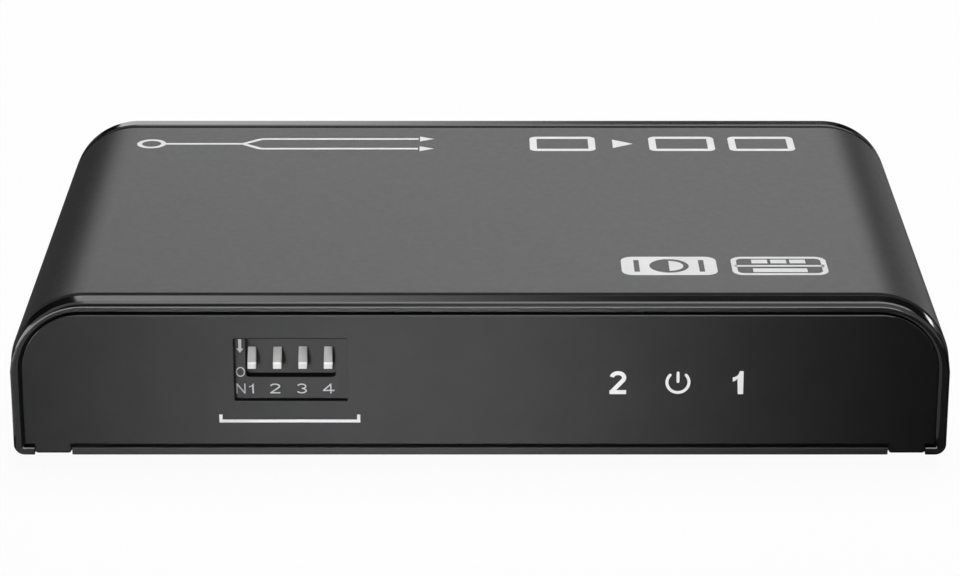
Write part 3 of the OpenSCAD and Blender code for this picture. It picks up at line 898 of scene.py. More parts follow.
@dataclass(frozen=True)
class Bend:
    """Quarter turn in the cover's cross section, with the rim's share of its full depth at both ends."""

    start: float
    steps: int
    radius: float
    height: float
    inner_radius: float
    inner_height: float
    shares: Point
    power: float = 1.0

    def rows(self) -> list[tuple[Vector, Vector, Vector, float]]:
        """Places along the bend.

        Returns:
            Outer point, outward direction, inner point and share of the rim's depth at each place.
        """
        middle = Vector((CASE.half - self.radius, self.height))
        inner_middle = Vector((CASE.inner_half - self.inner_radius, self.inner_height))
        low, high = self.shares
        rows = []
        for k in range(self.steps + 1):
            part = k / self.steps
            turn = math.radians(self.start + 90 * part)
            way = Vector((math.cos(turn), math.sin(turn)))
            share = low + (high - low) * part ** self.power
            rows.append((middle + way * self.radius, way, inner_middle + way * self.inner_radius, share))
        return rows


@dataclass
class Cover:
    """One-piece cover with a groove, a polished band and a rounded edge round each end."""

    front_rim: CoverRim = CoverRim(band=1.58, groove=0.4, band_in=0.15, band_out=0.49, edge_round=0.65)
    rear_rim: CoverRim = CoverRim(band=1.74, groove=1.15, band_in=0.005, band_out=0.045, edge_round=0.1,
                                  shoulder_round=0.36, groove_bottom=0.3)
    side_share: float = 0.5
    lip_share: float = 0.12
    share_power: float = 0.5
    mouth_edge: float = 0.05
    mouth_taper: float = 1.5
    side_gain: float = 0.22
    corner_steps: int = 28
    lower_steps: int = 8
    bore_depth: float = 6.0
    bore_play: float = 0.06
    post_bury: float = 0.15

    def section(self) -> list[tuple[Vector, Vector, Vector, float]]:
        """Cross section of the cover, from the left lip over the top to the right lip.

        Returns:
            Outer point, outward direction, inner point and share of the rim's depth at each place.
        """
        lip = CASE.half - CASE.lip
        lower = Bend(
            start=-90,
            steps=self.lower_steps,
            radius=CASE.lower,
            height=CASE.floor + CASE.lower,
            inner_radius=CASE.inner_lower,
            inner_height=CASE.base_top + CASE.inner_lower,
            shares=(self.lip_share, self.side_share),
        )
        upper = Bend(
            start=0,
            steps=self.corner_steps,
            radius=CASE.corner,
            height=CASE.roof - CASE.corner,
            inner_radius=CASE.inner_corner,
            inner_height=CASE.ceiling - CASE.inner_corner,
            shares=(self.side_share, 1.0),
            power=self.share_power,
        )
        half = [(Vector((lip, CASE.floor)), Vector((0, -1)), Vector((lip, CASE.base_top)), self.lip_share)]
        half += lower.rows() + upper.rows()
        flip = Vector((-1, 1))
        return [(*(v * flip for v in row[:3]), row[3]) for row in half] + half[::-1]

    def inner_place(self, spot: Vector, way: Vector, y: float, at_end: bool) -> tuple[Vector, float]:
        """Move a point on the inner face, which is thicker at the sides and bevelled at both mouths.

        Args:
            spot: The point in the cross section.
            way: Outward direction there.
            y: Place along the cover.
            at_end: True for a point of the end face.

        Returns:
            The point in the cross section and its place along the cover.
        """
        mouth = self.mouth_edge * (self.mouth_taper - way.y)
        if at_end:
            return spot + way * mouth, y
        gain = self.side_gain * abs(way.x)
        bevel = (mouth + gain) / 2
        return spot - way * gain, min(max(y, CASE.front + bevel), CASE.rear - bevel)

    def build(self) -> None:
        """Make the cover with its four screw posts."""
        section = self.section()
        lines = []
        for *_, share in section:
            front = [(CASE.front + t, depth) for t, depth, _ in self.front_rim.line(share)]
            rear = [(CASE.rear - t, depth) for t, depth, _ in self.rear_rim.line(share)]
            lines.append(front + rear[::-1])
        solid = Solid()
        rings = []
        last = len(lines[0]) - 1
        for number in range(last + 1):
            rows = [(*row, *line[number]) for row, line in zip(section, lines)]
            places = [(outer - way * depth, y) for outer, way, _, _, y, depth in rows]
            at_end = number in (0, last)
            places += [self.inner_place(inner, way, y, at_end) for _, way, inner, _, y, _ in rows[::-1]]
            rings.append([solid.mesh.verts.new(Facing.FRONT.place(spot, y)) for spot, y in places])
        # A point's slot is that of the strip on its inner side, so the innermost rear point drops out
        tones = [tone for *_, tone in self.front_rim.line(1.0) + self.rear_rim.line(1.0)[-2::-1]]
        count = len(section)
        for number, (one, two, tone) in enumerate(zip(rings, rings[1:], tones)):
            # Inner faces get black painted shade, which shows in the seams; the mouth strips at both ends
            # stay glossy
            within = CoverTone.BAND if number in (0, last - 1) else CoverTone.INSIDE
            for i in range(2 * count):
                j = (i + 1) % (2 * count)
                solid.face((one[i], one[j], two[j], two[i]), tone if i < count - 1 else within.value)
        for ring in (rings[0], rings[-1]):
            inner = ring[:count - 1:-1]
            for i in range(count - 1):
                solid.face((ring[i], ring[i + 1], inner[i + 1], inner[i]), CoverTone.FACE.value)
        self.add_posts(solid)
        Piece("cover", "cover_coat", ("top_cover",)).add(
            solid, COVER_COAT, BAND_GLOSS, GROOVE_DARK, END_FACE_PAINTED_LIGHT, PAINTED_SHADE_BLACK)

    def add_posts(self, solid: Solid) -> None:
        """Add the four posts, whose tops are buried in the cover's top wall.

        Args:
            solid: Cover to add to.
        """
        low = CASE.base_top + CASE.sheet
        high = CASE.ceiling + self.post_bury
        bore = CASE.screw_radius + self.bore_play
        bottom = low + self.bore_depth
        radius = CASE.post_radius
        profile = [(0, bottom), (bore, bottom), (bore, low), (radius, low), (radius, high), (0, high)]
        for post in CASE.posts():
            solid.lathe(profile, Facing.UP, post)


class End(Enum):
    """End of the case, as the sign of its Y."""

    FRONT = -1
    REAR = 1


class PanelTone(Enum):
    """Material slots of an end panel."""

    COAT = 0
    CUT = 1
    UPPER_GLOSS = 2


@dataclass
class EndPanel:
    """End panel: a sheet with rounded upper corners, two legs and two folded tabs."""

    name: str = "front_sheet"
    node: str = "front_panel"
    end: End = End.FRONT
    edge: float = 0.14
    hole_edge: float = 0.09
    leg_round: float = 0.25
    foot_round: float = 0.1
    tab_width: float = 7.6
    tab_spare: float = 1.0
    tab_round: float = 0.3
    tab_play: float = 0.15
    rim_slopes: Point = (0.25, 0.975)
    rim_lean: float = 0.1

    def outline(self) -> Outline:
        """Outer line of the panel.

        Returns:
            The outline.
        """
        half = CASE.inner_half - CASE.seam
        low = CASE.base_top + CASE.seam
        high = CASE.ceiling - CASE.seam
        leg_in = CASE.base_half - CASE.notch + CASE.leg_play
        leg_out = CASE.half - CASE.lip - CASE.leg_play
        leg_low = CASE.floor + CASE.leg_rise
        right = [
            (leg_in, low, 0),
            (leg_in, leg_low, self.leg_round),
            (leg_out, leg_low, self.leg_round),
            (leg_out, low, 0),
            (half, low, self.foot_round),
            (half, high, CASE.inner_corner - CASE.seam),
        ]
        return Outline.mirrored(right, steps=20)

    def holes(self) -> list[Rim]:
        """Holes through the panel."""
        return []

    def build(self) -> None:
        """Make the panel with its tabs."""
        sign = self.end.value
        outer = sign * CASE.rear
        inner = outer - sign * CASE.sheet
        tip = inner - sign * (CASE.post_inset[1] + CASE.post_radius + self.tab_spare)
        rims = [Rim(self.outline(), self.edge), *self.holes()]
        # The straight walls of the outline and of the holes get black painted shade, for the seam and the
        # hole walls
        solid = Solid().plate(rims, Facing.FRONT, sorted((outer, inner)), wall_tone=PanelTone.CUT.value)
        for x in (-CASE.post[0], CASE.post[0]):
            size = (self.tab_width, abs(tip - inner))
            tab = Outline.centred((x, (inner + tip) / 2), size, self.tab_round)
            hole = Outline.circle((x, sign * CASE.post[1]), CASE.screw_radius + self.tab_play)
            solid.plate([Rim(tab), Rim(hole)], Facing.UP, (CASE.base_top, CASE.base_top + CASE.sheet))
        self.gloss_and_shade_rims(solid)
        Piece(self.name, "sheet_coat", (self.node,)).add(solid, PANEL_COAT, PAINTED_SHADE_BLACK, BAND_GLOSS)

    def gloss_and_shade_rims(self, solid: Solid) -> None:
        """Mark the rounded rims: glossy where they face up, painted black shade where they face down.

        Args:
            solid: Panel whose faces are marked.
        """
        bmesh.ops.recalc_face_normals(solid.mesh, faces=solid.mesh.faces[:])
        low, high = self.rim_slopes
        for face in solid.mesh.faces:
            level = face.normal.z
            if low < abs(level) < high and abs(face.normal.y) > self.rim_lean:
                # Rims that face down get black painted shade
                tone = PanelTone.UPPER_GLOSS if level > 0 else PanelTone.CUT
                face.material_index = tone.value


@dataclass
class Base:
    """Sheet base between the cover's lips, with notches for the panels' legs and four countersinks."""

    edge: float = 0.12
    bore_play: float = 0.06
    rivet: float = 1.6
    rivets: tuple[Point, ...] = ((-33.7, -9.9), (33.7, -9.9), (-33.7, 8.4), (33.7, 8.4))

    def build(self) -> None:
        """Make the base."""
        strip = CASE.base_half - CASE.notch
        back = CASE.rear - CASE.sheet - CASE.seam
        quarter = [(CASE.base_half, back), (strip, back), (strip, CASE.rear)]
        right = [(x, -y) for x, y in reversed(quarter)] + quarter
        left = [(-x, -y) for x, y in right]
        rims = [Rim(Outline(tuple(right + left)), self.edge)]
        bore = CASE.screw_radius + self.bore_play
        rims += [Rim(Outline.circle(p, bore), cone=CASE.sheet) for p in CASE.posts()]
        rims += [Rim(Outline.circle(p, self.rivet)) for p in self.rivets]
        solid = Solid().plate(rims, Facing.UP, (CASE.floor, CASE.base_top))
        Piece("base_sheet", "sheet_coat", ("base_plate",)).add(solid, BASE_COAT)


@dataclass
class Feet:
    """Four rubber feet with a rounded rim and a shallow hollow."""

    taper: float = 0.35
    rim: float = 0.3
    hollow_radius: float = 2.6
    hollow_depth: float = 0.3
    names: tuple[str, ...] = ("front_left", "front_right", "rear_left", "rear_right")

    def build(self) -> None:
        """Make each foot where its node is."""
        for name in self.names:
            node = f"foot_{name}"
            box = NodeBox.of(node)
            radius = (box.high.x - box.low.x) / 2
            base = radius - self.taper
            profile = [(0, self.hollow_depth), (self.hollow_radius - self.rim, self.hollow_depth)]
            radii = (self.rim, self.rim)
            profile += oval_arc((self.hollow_radius + self.rim, self.rim), radii, 180, 270, steps=5)
            profile += oval_arc((base - self.rim, self.rim), radii, 270, 360, steps=5)
            profile += [(radius, box.high.z - self.rim / 2), (radius, box.high.z), (0, box.high.z)]
            solid = Solid().lathe(profile, Facing.UP, box.middle.xy)
            Piece(f"rubber_{node}", "foot_rubber", (node,)).add(solid, FOOT_RUBBER)


# Signs and lettering


@dataclass(frozen=True)
class Lettering:
    """Plain numerals and signs of one size, each centred on the origin, with the shares that shape them."""

    height: float
    width: float
    stroke: float
    flag_reach: float = 0.33
    flag_rise: float = 0.27
    flag_lap: float = 0.24
    flag_thick: float = 0.85
    bowl: float = 0.97
    bowl_ends: Point = (172, -34)
    neck: Point = (0.86, 0.3)
    upper_bowl: float = 0.92
    open_end: float = 160
    bar_drop: float = 0.45
    stem_place: float = 0.42
    ring_gap: float = 46.0
    ring_bar: Point = (0.06, 0.4)
    head: float = 0.55

    @property
    def reach(self) -> Point:
        """Half sizes of a sign, measured to the middle of its stroke."""
        return ((self.width - self.stroke) / 2, (self.height - self.stroke) / 2)

    def pen(self, *paths: Sequence[Point]) -> Stencil:
        """Sign drawn in pen strokes."""
        return Stencil(tuple(Outline.stroke(path, self.stroke) for path in paths))

    def one(self) -> Stencil:
        """Numeral 1, a stem with a curved flag.

        Returns:
            The sign.
        """
        top = self.height / 2
        right = self.width / 3
        stem = right - self.stroke
        flag = stem - self.width * self.flag_reach
        rise = self.height * self.flag_rise
        over = oval_arc((flag, top), (stem + self.stroke * self.flag_lap - flag, rise), 270, 360, steps=6)
        under = oval_arc((flag, top - self.stroke * self.flag_thick), (stem - flag, rise), 270, 330, steps=4)
        shape = [*over, (right, top), (right, -top), (stem, -top), *under[::-1]]
        return Stencil((Outline(tuple(shape)),))

    def two(self) -> Stencil:
        """Numeral 2, a bowl that runs down to a foot.

        Returns:
            The sign.
        """
        x, z = self.reach
        bowl = min(x, z / 2) * self.bowl
        path = oval_arc((0, z - bowl), (x, bowl), *self.bowl_ends)
        path.append((-x * self.neck[0], -z + self.stroke * self.neck[1]))
        return self.pen(path, [(-self.width / 2, -z), (self.width / 2, -z)])

    def three(self) -> Stencil:
        """Numeral 3, two open bowls.

        Returns:
            The sign.
        """
        x, z = self.reach
        upper = oval_arc((0, z / 2), (x * self.upper_bowl, z / 2), self.open_end, -90)
        lower = oval_arc((0, -z / 2), (x, z / 2), 90, -self.open_end)
        return self.pen(upper, lower)

    def four(self) -> Stencil:
        """Numeral 4, a stem, a bar and a slope.

        Returns:
            The sign.
        """
        x, z = self.reach
        bar = -z * self.bar_drop
        stem = x * self.stem_place
        top = self.height / 2
        return self.pen([(-x, bar), (stem, z)], [(-self.width / 2, bar), (self.width / 2, bar)],
                        [(stem, -top), (stem, top)])

    def letter_o(self) -> Stencil:
        """Letter O."""
        return self.pen(oval_arc((0, 0), self.reach, 90, 450, steps=32))

    def letter_n(self) -> Stencil:
        """Letter N.

        Returns:
            The sign.
        """
        x, _ = self.reach
        top = self.height / 2
        return self.pen([(-x, -top), (-x, top)], [(x, -top), (x, top)], [(-x, top), (x, -top)])

    def power(self) -> Stencil:
        """Power sign: an open ring and a bar, with round ends.

        Returns:
            The sign.
        """
        x, _ = self.reach
        ring = oval_arc((0, 0), (x, x), 90 + self.ring_gap, 450 - self.ring_gap, steps=40)
        bar = [(0, x * self.ring_bar[0]), (0, self.width * self.ring_bar[1])]
        dots = tuple(Outline.circle(p, self.stroke / 2, steps=16) for p in (ring[0], ring[-1], *bar))
        return Stencil(self.pen(ring, bar).filled + dots)

    def arrow(self, turned: bool = False) -> Stencil:
        """Arrow along the width.

        Args:
            turned: True for an arrow to the left.

        Returns:
            The sign.
        """
        sign = -1 if turned else 1
        tip = sign * self.width / 2
        length = sign * self.height * self.head
        shaft = Outline.stroke([(-tip, 0), (tip - length, 0)], self.stroke)
        return Stencil((Outline.pointer((tip, 0), length, self.height / 2), shaft))


# Selector


class LeverTone(Enum):
    """Material slots of a lever."""

    SIDE = 0
    PAINTED_HIGHLIGHT = 1
    SHADED_SLOPE = 2


@dataclass
class Selector:
    """Four-lever selector: a block with an open slot, a back and four sliding levers."""

    box: NodeBox = field(default_factory=lambda: NodeBox.of("selector_housing"))
    window: Point = (11.35, 6.66)
    window_shift: float = 0.185
    window_rise: float = -0.01
    window_round: float = 0.2
    slot: Point = (9.0, 4.65)
    slot_shift: float = 0.14
    slot_low: float = 3.7
    slot_depth: float = 1.2
    slot_round: float = 0.35
    slot_edge: float = 0.06
    floor: float = 0.6
    neck: Point = (0.5, 0.4)
    shoe: Place = (1.6, 0.8, 1.7)
    shoe_drop: float = 0.35
    lever_width: float = 0.84
    lever_shift: float = 0.085
    lever_proud: float = 0.5
    lever_lift: float = 0.19
    lever_face: float = 0.65
    lever_brow: Point = (0.66, 1.25)
    lever_height: float = 1.86
    lever_edge: float = 0.035
    ridge_round: float = 0.2
    ridge_reach: float = 0.085
    brow_round: float = 2.4
    travel: float = 1.5
    run: float = 0.06
    edge: float = 0.12
    count: int = 4
    letters: Lettering = Lettering(1.06, 1.02, 0.13)
    wide_letters: Lettering = Lettering(1.06, 1.15, 0.13)
    side_letters: Lettering = Lettering(1.06, 0.92, 0.12)
    number_shifts: tuple[float, ...] = (-0.13, -0.19, -0.07, 0.09)
    number_row: float = 2.47
    side_column: float = 1.06
    side_rise: float = 1.79
    arrow_ends: Point = (6.31, 7.76)
    arrow_head: Point = (0.35, 0.455)
    arrow_shaft: float = 0.15
    print_height: float = 0.012

    @property
    def middle(self) -> Vector:
        """Middle of the block."""
        return self.box.middle

    @property
    def face(self) -> float:
        """Place of the block's face."""
        return self.box.low.y

    def levers(self) -> list[NodeBox]:
        """Boxes of the levers, from left to right."""
        return [NodeBox.of(f"selector_lever_{i + 1}") for i in range(self.count)]

    def window_line(self) -> Outline:
        """Outline of the panel's window over the block."""
        middle = (self.middle.x + self.window_shift, self.middle.z + self.window_rise)
        return Outline.centred(middle, self.window, self.window_round)

    def build(self) -> None:
        """Make the block, its back, the levers and the marks on the face."""
        self.build_housing()
        self.build_back()
        for number, box in enumerate(self.levers(), start=1):
            self.build_lever(number, box)
        self.build_marks()

    def build_housing(self) -> None:
        """Make the block, with the levers' slot, neck slots and chambers."""
        low, high = self.box.low, self.box.high
        solid = Solid()
        outer = Rim(self.box.front_line(self.edge), self.edge)
        front, back = solid.wall(outer, Facing.FRONT, (low.y, high.y), outside=True)
        slot_middle = (self.middle.x + self.slot_shift, low.z + self.slot_low + self.slot[1] / 2)
        mouth = Rim(Outline.centred(slot_middle, self.slot, self.slot_round), self.slot_edge)
        floor_y = self.face + self.slot_depth
        span = (low.y, floor_y)
        # The slot's straight walls, the neck slots and the chambers get the black painted shade of material
        # slot 1
        lip, pit = solid.wall(mouth, Facing.FRONT, span, outside=False, straight=1, one_end=True)
        solid.cap([front, lip], 0)
        pits, backs = [pit], [back]
        room_y = floor_y + self.floor
        for box in self.levers():
            neck = self.track(box.middle.x, box.low.z + self.shoe_drop, self.neck)
            room = self.track(box.middle.x, box.low.z, (self.shoe[0], self.shoe[2]))
            neck_ends = solid.wall(Rim(neck), Facing.FRONT, (floor_y, room_y), outside=False, tone=1)
            room_ends = solid.wall(Rim(room), Facing.FRONT, (room_y, high.y), outside=False, tone=1)
            solid.cap([room_ends[0], neck_ends[1]], 1)
            pits.append(neck_ends[0])
            backs.append(room_ends[1])
        solid.cap(pits, 0)
        solid.cap(backs, 0)
        Piece("selector_block", "selector_grey", ("selector_housing",)).add(solid, SELECTOR_GREY, PAINTED_SHADE_BLACK)

    def track(self, x: float, low: float, size: Point) -> Outline:
        """Opening that a part of a lever slides in.

        Args:
            x: Middle of the lever.
            low: Height of the part's underside at rest.
            size: Width and height of the part.

        Returns:
            The outline, with play all round.
        """
        half = size[0] / 2 + self.run
        return Outline.box((x - half, low - self.run), (x + half, low + size[1] + self.travel + self.run))

    def build_back(self) -> None:
        """Make the block's back."""
        box = NodeBox.of("selector_base")
        rim = Rim(box.front_line(self.edge), self.edge)
        solid = Solid().plate([rim], Facing.FRONT, (box.low.y, box.high.y))
        Piece("selector_back", "black_moulding", ("selector_base",)).add(solid, BLACK_MOULDING)

    def build_lever(self, number: int, box: NodeBox) -> None:
        """Make one lever: a knob with a rounded ramp, its neck and its shoe.

        Args:
            number: Number of the lever, from the left.
            box: Box of its node.
        """
        x = box.middle.x
        tip = box.low.y - self.lever_proud
        back = self.face + self.slot_depth - self.run
        low = box.low.z + self.shoe_drop
        base = low + self.lever_lift
        soft = self.lever_edge
        corner = soft * CORNER_TO_EDGE
        knob = Outline.rounded([
            (tip, base, corner),
            (back, base, corner),
            (back, base + self.lever_height, corner),
            (tip + self.lever_brow[0], base + self.lever_brow[1], self.brow_round),
            (tip, base + self.lever_face, self.ridge_round),
        ])
        half = self.lever_width / 2
        knob_x = x + self.lever_shift
        solid = Solid().plate([Rim(knob, soft)], Facing.SIDE, (knob_x - half, knob_x + half))
        # Painted highlight: the ridge's faces take a near-white finish; painted shade: the faces above it
        # take a darker white
        for face in solid.mesh.faces:
            spot = face.calc_center_median() / MM
            above_ridge = spot.z - base - self.lever_face
            if spot.y < tip + self.ridge_reach and abs(above_ridge) < self.ridge_reach:
                face.material_index = LeverTone.PAINTED_HIGHLIGHT.value
            elif above_ridge > 0:
                face.material_index = LeverTone.SHADED_SLOPE.value
        shoe_y = box.high.y - self.shoe[1]
        solid.block((x - self.neck[0] / 2, back - soft, low),
                    (x + self.neck[0] / 2, shoe_y + soft, low + self.neck[1]), soft)
        solid.block((x - self.shoe[0] / 2, shoe_y, box.low.z),
                    (x + self.shoe[0] / 2, box.high.y, box.low.z + self.shoe[2]), soft)
        Piece(f"lever_knob_{number}", "lever_white", (f"selector_lever_{number}",), f"lever_{number}").add(
            solid, LEVER_WHITE, RIDGE_PAINTED_HIGHLIGHT, SLOPE_PAINTED_SHADE)

    def build_marks(self) -> None:
        """Print the numerals under the levers, and ON with its arrow beside the slot."""
        letters, side = self.letters, self.side_letters
        row = self.box.low.z + self.number_row
        left = self.box.low.x + self.side_column
        numerals = (letters.one(), letters.two(), letters.three(), self.wide_letters.four())
        spots = zip(numerals, self.levers(), self.number_shifts)
        marks = [(sign.moved(box.middle.x + shift, row), 0) for sign, box, shift in spots]
        marks += [
            (side.letter_o().moved(left, row + self.side_rise), 1),
            (side.letter_n().moved(left, row), 1),
            (self.arrow().moved(left, self.box.low.z), 1),
        ]
        solid = Solid()
        for mark, tone in marks:
            solid.stamp(mark, Facing.FRONT, (self.face - self.print_height, self.face), tone)
        Piece("selector_marks", "lever_white").add(solid, DIGIT_WHITE, PRINT_GREY)

    def arrow(self) -> Stencil:
        """Arrow that points down, with its heights measured from the block's underside.

        Returns:
            The sign.
        """
        tip, top = self.arrow_ends
        half, length = self.arrow_head
        neck = tip + length
        right = [(half, neck), (self.arrow_shaft, neck), (self.arrow_shaft, top)]
        left = [(-x, z) for x, z in reversed(right)]
        return Stencil((Outline(((0, tip), *right, *left)),))


SELECTOR = Selector()


@dataclass
class Indicators:
    """Three light pipes, each with its sign standing flush in the front panel."""

    sign_height: float = 2.48
    sign_width: float = 1.66
    sign_stroke: float = 0.43
    stem_stroke: float = 0.53
    power_size: float = 2.5
    power_stroke: float = 0.3
    proud: float = 0.006
    edge: float = 0.1
    shifts: tuple[Point, ...] = ((-0.02, 0.0), (-0.05, 0.04), (-0.09, 0.0))

    def signs(self) -> dict[str, Stencil]:
        """Sign of each indicator, at its place on the panel.

        Returns:
            The signs by the node's name.
        """
        bold = Lettering(self.sign_height, self.sign_width, self.sign_stroke)
        stem = Lettering(self.sign_height, self.sign_width, self.stem_stroke)
        ring = Lettering(self.power_size, self.power_size, self.power_stroke)
        shapes = {"indicator_2": bold.two(), "indicator_power": ring.power(), "indicator_1": stem.one()}
        placed = {}
        for (node, shape), shift in zip(shapes.items(), self.shifts):
            middle = NodeBox.of(node).middle
            placed[node] = shape.moved(middle.x + shift[0], middle.z + shift[1])
        return placed

    def holes(self) -> list[Rim]:
        """Holes in the panel that the signs fill."""
        return [Rim(line) for sign in self.signs().values() for line in sign.rims()]

    def build(self) -> None:
        """Make each pipe with its sign."""
        for node, sign in self.signs().items():
            box = NodeBox.of(node)
            back = CASE.front + CASE.sheet
            bevel = (box.high.y - back) / 2
            corners = [
                (back, box.low.z),
                (box.high.y, box.low.z),
                (box.high.y, box.high.z - bevel),
                (box.high.y - bevel, box.high.z),
                (back, box.high.z),
            ]
            profile = Outline.rounded([(y, z, self.edge * CORNER_TO_EDGE) for y, z in corners])
            solid = Solid().plate([Rim(profile, self.edge)], Facing.SIDE, (box.low.x, box.high.x), tone=1)
            solid.stamp(sign, Facing.FRONT, (CASE.front - self.proud, back))
            Piece(f"lit_{node}", "clear_white", (node,)).add(solid, SIGN_LIGHT, PIPE_CLEAR)


INDICATORS = Indicators()


@dataclass
class FrontPanel(EndPanel):
    """Front panel, with the selector's window and the three signs cut through it."""

    def holes(self) -> list[Rim]:
        """Window and sign holes."""
        return [Rim(SELECTOR.window_line(), self.hole_edge), *INDICATORS.holes()]


# Rear


@dataclass
class VideoPorts:
    """Three video ports, each a folded shell, an insulator with its tongue and two rows of contacts."""

    names: tuple[str, ...] = ("output_1", "output_2", "input")
    wall: float = 0.35
    loose: float = 0.15
    half_width: float = 7.0
    half_height: float = 2.275
    shoulder: float = 0.5
    foot_half: float = 5.2
    slope: float = 1.05
    bend: float = 0.45
    edge: float = 0.12
    tongue: Place = (11.2, 6.4, 1.15)
    tongue_sink: float = 1.3
    tongue_lift: float = 0.25
    tongue_round: float = 0.3
    run: float = 0.06
    leg: Point = (1.2, 4.525)
    leg_places: Point = (3.2, 9.4)
    leaf: Point = (2.2, 5.0)
    leaf_peak: float = 0.4
    leaf_gap: float = 3.1
    leaf_dip: float = 0.3
    leaf_sheet: float = 0.15

    def inside(self, x: float, z: float) -> Outline:
        """Inner line of a shell.

        Args:
            x: Middle of the port.
            z: Height of its middle.

        Returns:
            The outline.
        """
        right = [
            (self.foot_half, -self.half_height, self.bend),
            (self.foot_half, -self.shoulder - self.slope, self.bend),
            (self.half_width, -self.shoulder, self.bend),
            (self.half_width, self.half_height, self.bend),
        ]
        return Outline.mirrored(right).moved(x, z)

    def middle(self, name: str) -> Point:
        """Middle of a port's mouth."""
        box = NodeBox.of(f"{name}_shell")
        return (box.middle.x, box.high.z - self.wall - self.half_height)

    def holes(self) -> list[Outline]:
        """Holes in the rear panel round the shells."""
        return [self.inside(*self.middle(name)).grown(self.wall + self.loose) for name in self.names]

    def build(self) -> None:
        """Make the shells and insulators."""
        for name in self.names:
            self.build_shell(name)
            self.build_insulator(name)

    def build_shell(self, name: str) -> None:
        """Make one shell with its legs and spring leaves.

        Args:
            name: Name of the port.
        """
        box = NodeBox.of(f"{name}_shell")
        x, z = self.middle(name)
        inner = self.inside(x, z)
        rims = [Rim(line, self.edge) for line in (inner.grown(self.wall), inner)]
        solid = Solid().plate(rims, Facing.FRONT, (box.low.y, box.high.y))
        for side in (-1, 1):
            leg_x = x + side * (self.half_width + self.wall / 2)
            for place in self.leg_places:
                y = box.high.y - place
                low = (leg_x - self.wall / 2, y - self.leg[0] / 2, box.low.z)
                high = (leg_x + self.wall / 2, y + self.leg[0] / 2, box.low.z + self.leg[1])
                solid.block(low, high, self.edge / 2)
            leaf_x = x + side * self.leaf_gap
            for level in (-1, 1):
                self.add_leaf(solid, leaf_x, box.high.y, z + level * self.half_height, level)
        Piece(f"{name}_port_shell", "port_steel", (f"{name}_shell",)).add(solid, PORT_STEEL)

    def add_leaf(self, solid: Solid, x: float, mouth: float, wall: float, level: int) -> None:
        """Add a spring leaf that dips from the shell's wall into the mouth.

        Args:
            solid: Shell to add to.
            x: Middle of the leaf.
            mouth: Place of the shell's mouth.
            wall: Height of the shell's wall.
            level: 1 for the upper wall, -1 for the lower one.
        """
        start = mouth - self.tongue_sink
        width, length = self.leaf
        peak = (start - length * self.leaf_peak, wall - level * self.leaf_dip)
        outline = Outline.stroke([(start, wall), peak, (start - length, wall)], self.leaf_sheet)
        solid.plate([Rim(outline)], Facing.SIDE, (x - width / 2, x + width / 2))

    def build_insulator(self, name: str) -> None:
        """Make one insulator with its tongue.

        Args:
            name: Name of the port.
        """
        box = NodeBox.of(f"{name}_insulator")
        x, z = self.middle(name)
        width, length, thick = self.tongue
        block_y = box.high.y - length
        solid = Solid().plate([Rim(self.inside(x, z).grown(-self.run))], Facing.FRONT, (box.low.y, block_y))
        tongue_z = z + self.tongue_lift
        line = Outline.rounded([
            (x - width / 2, block_y - self.run, 0),
            (x + width / 2, block_y - self.run, 0),
            (x + width / 2, box.high.y, self.tongue_round),
            (x - width / 2, box.high.y, self.tongue_round),
        ])
        solid.plate([Rim(line, self.edge)], Facing.UP, (tongue_z - thick / 2, tongue_z + thick / 2))
        Piece(f"{name}_port_block", "black_moulding", (f"{name}_insulator",)).add(solid, BLACK_MOULDING)


PORTS = VideoPorts()


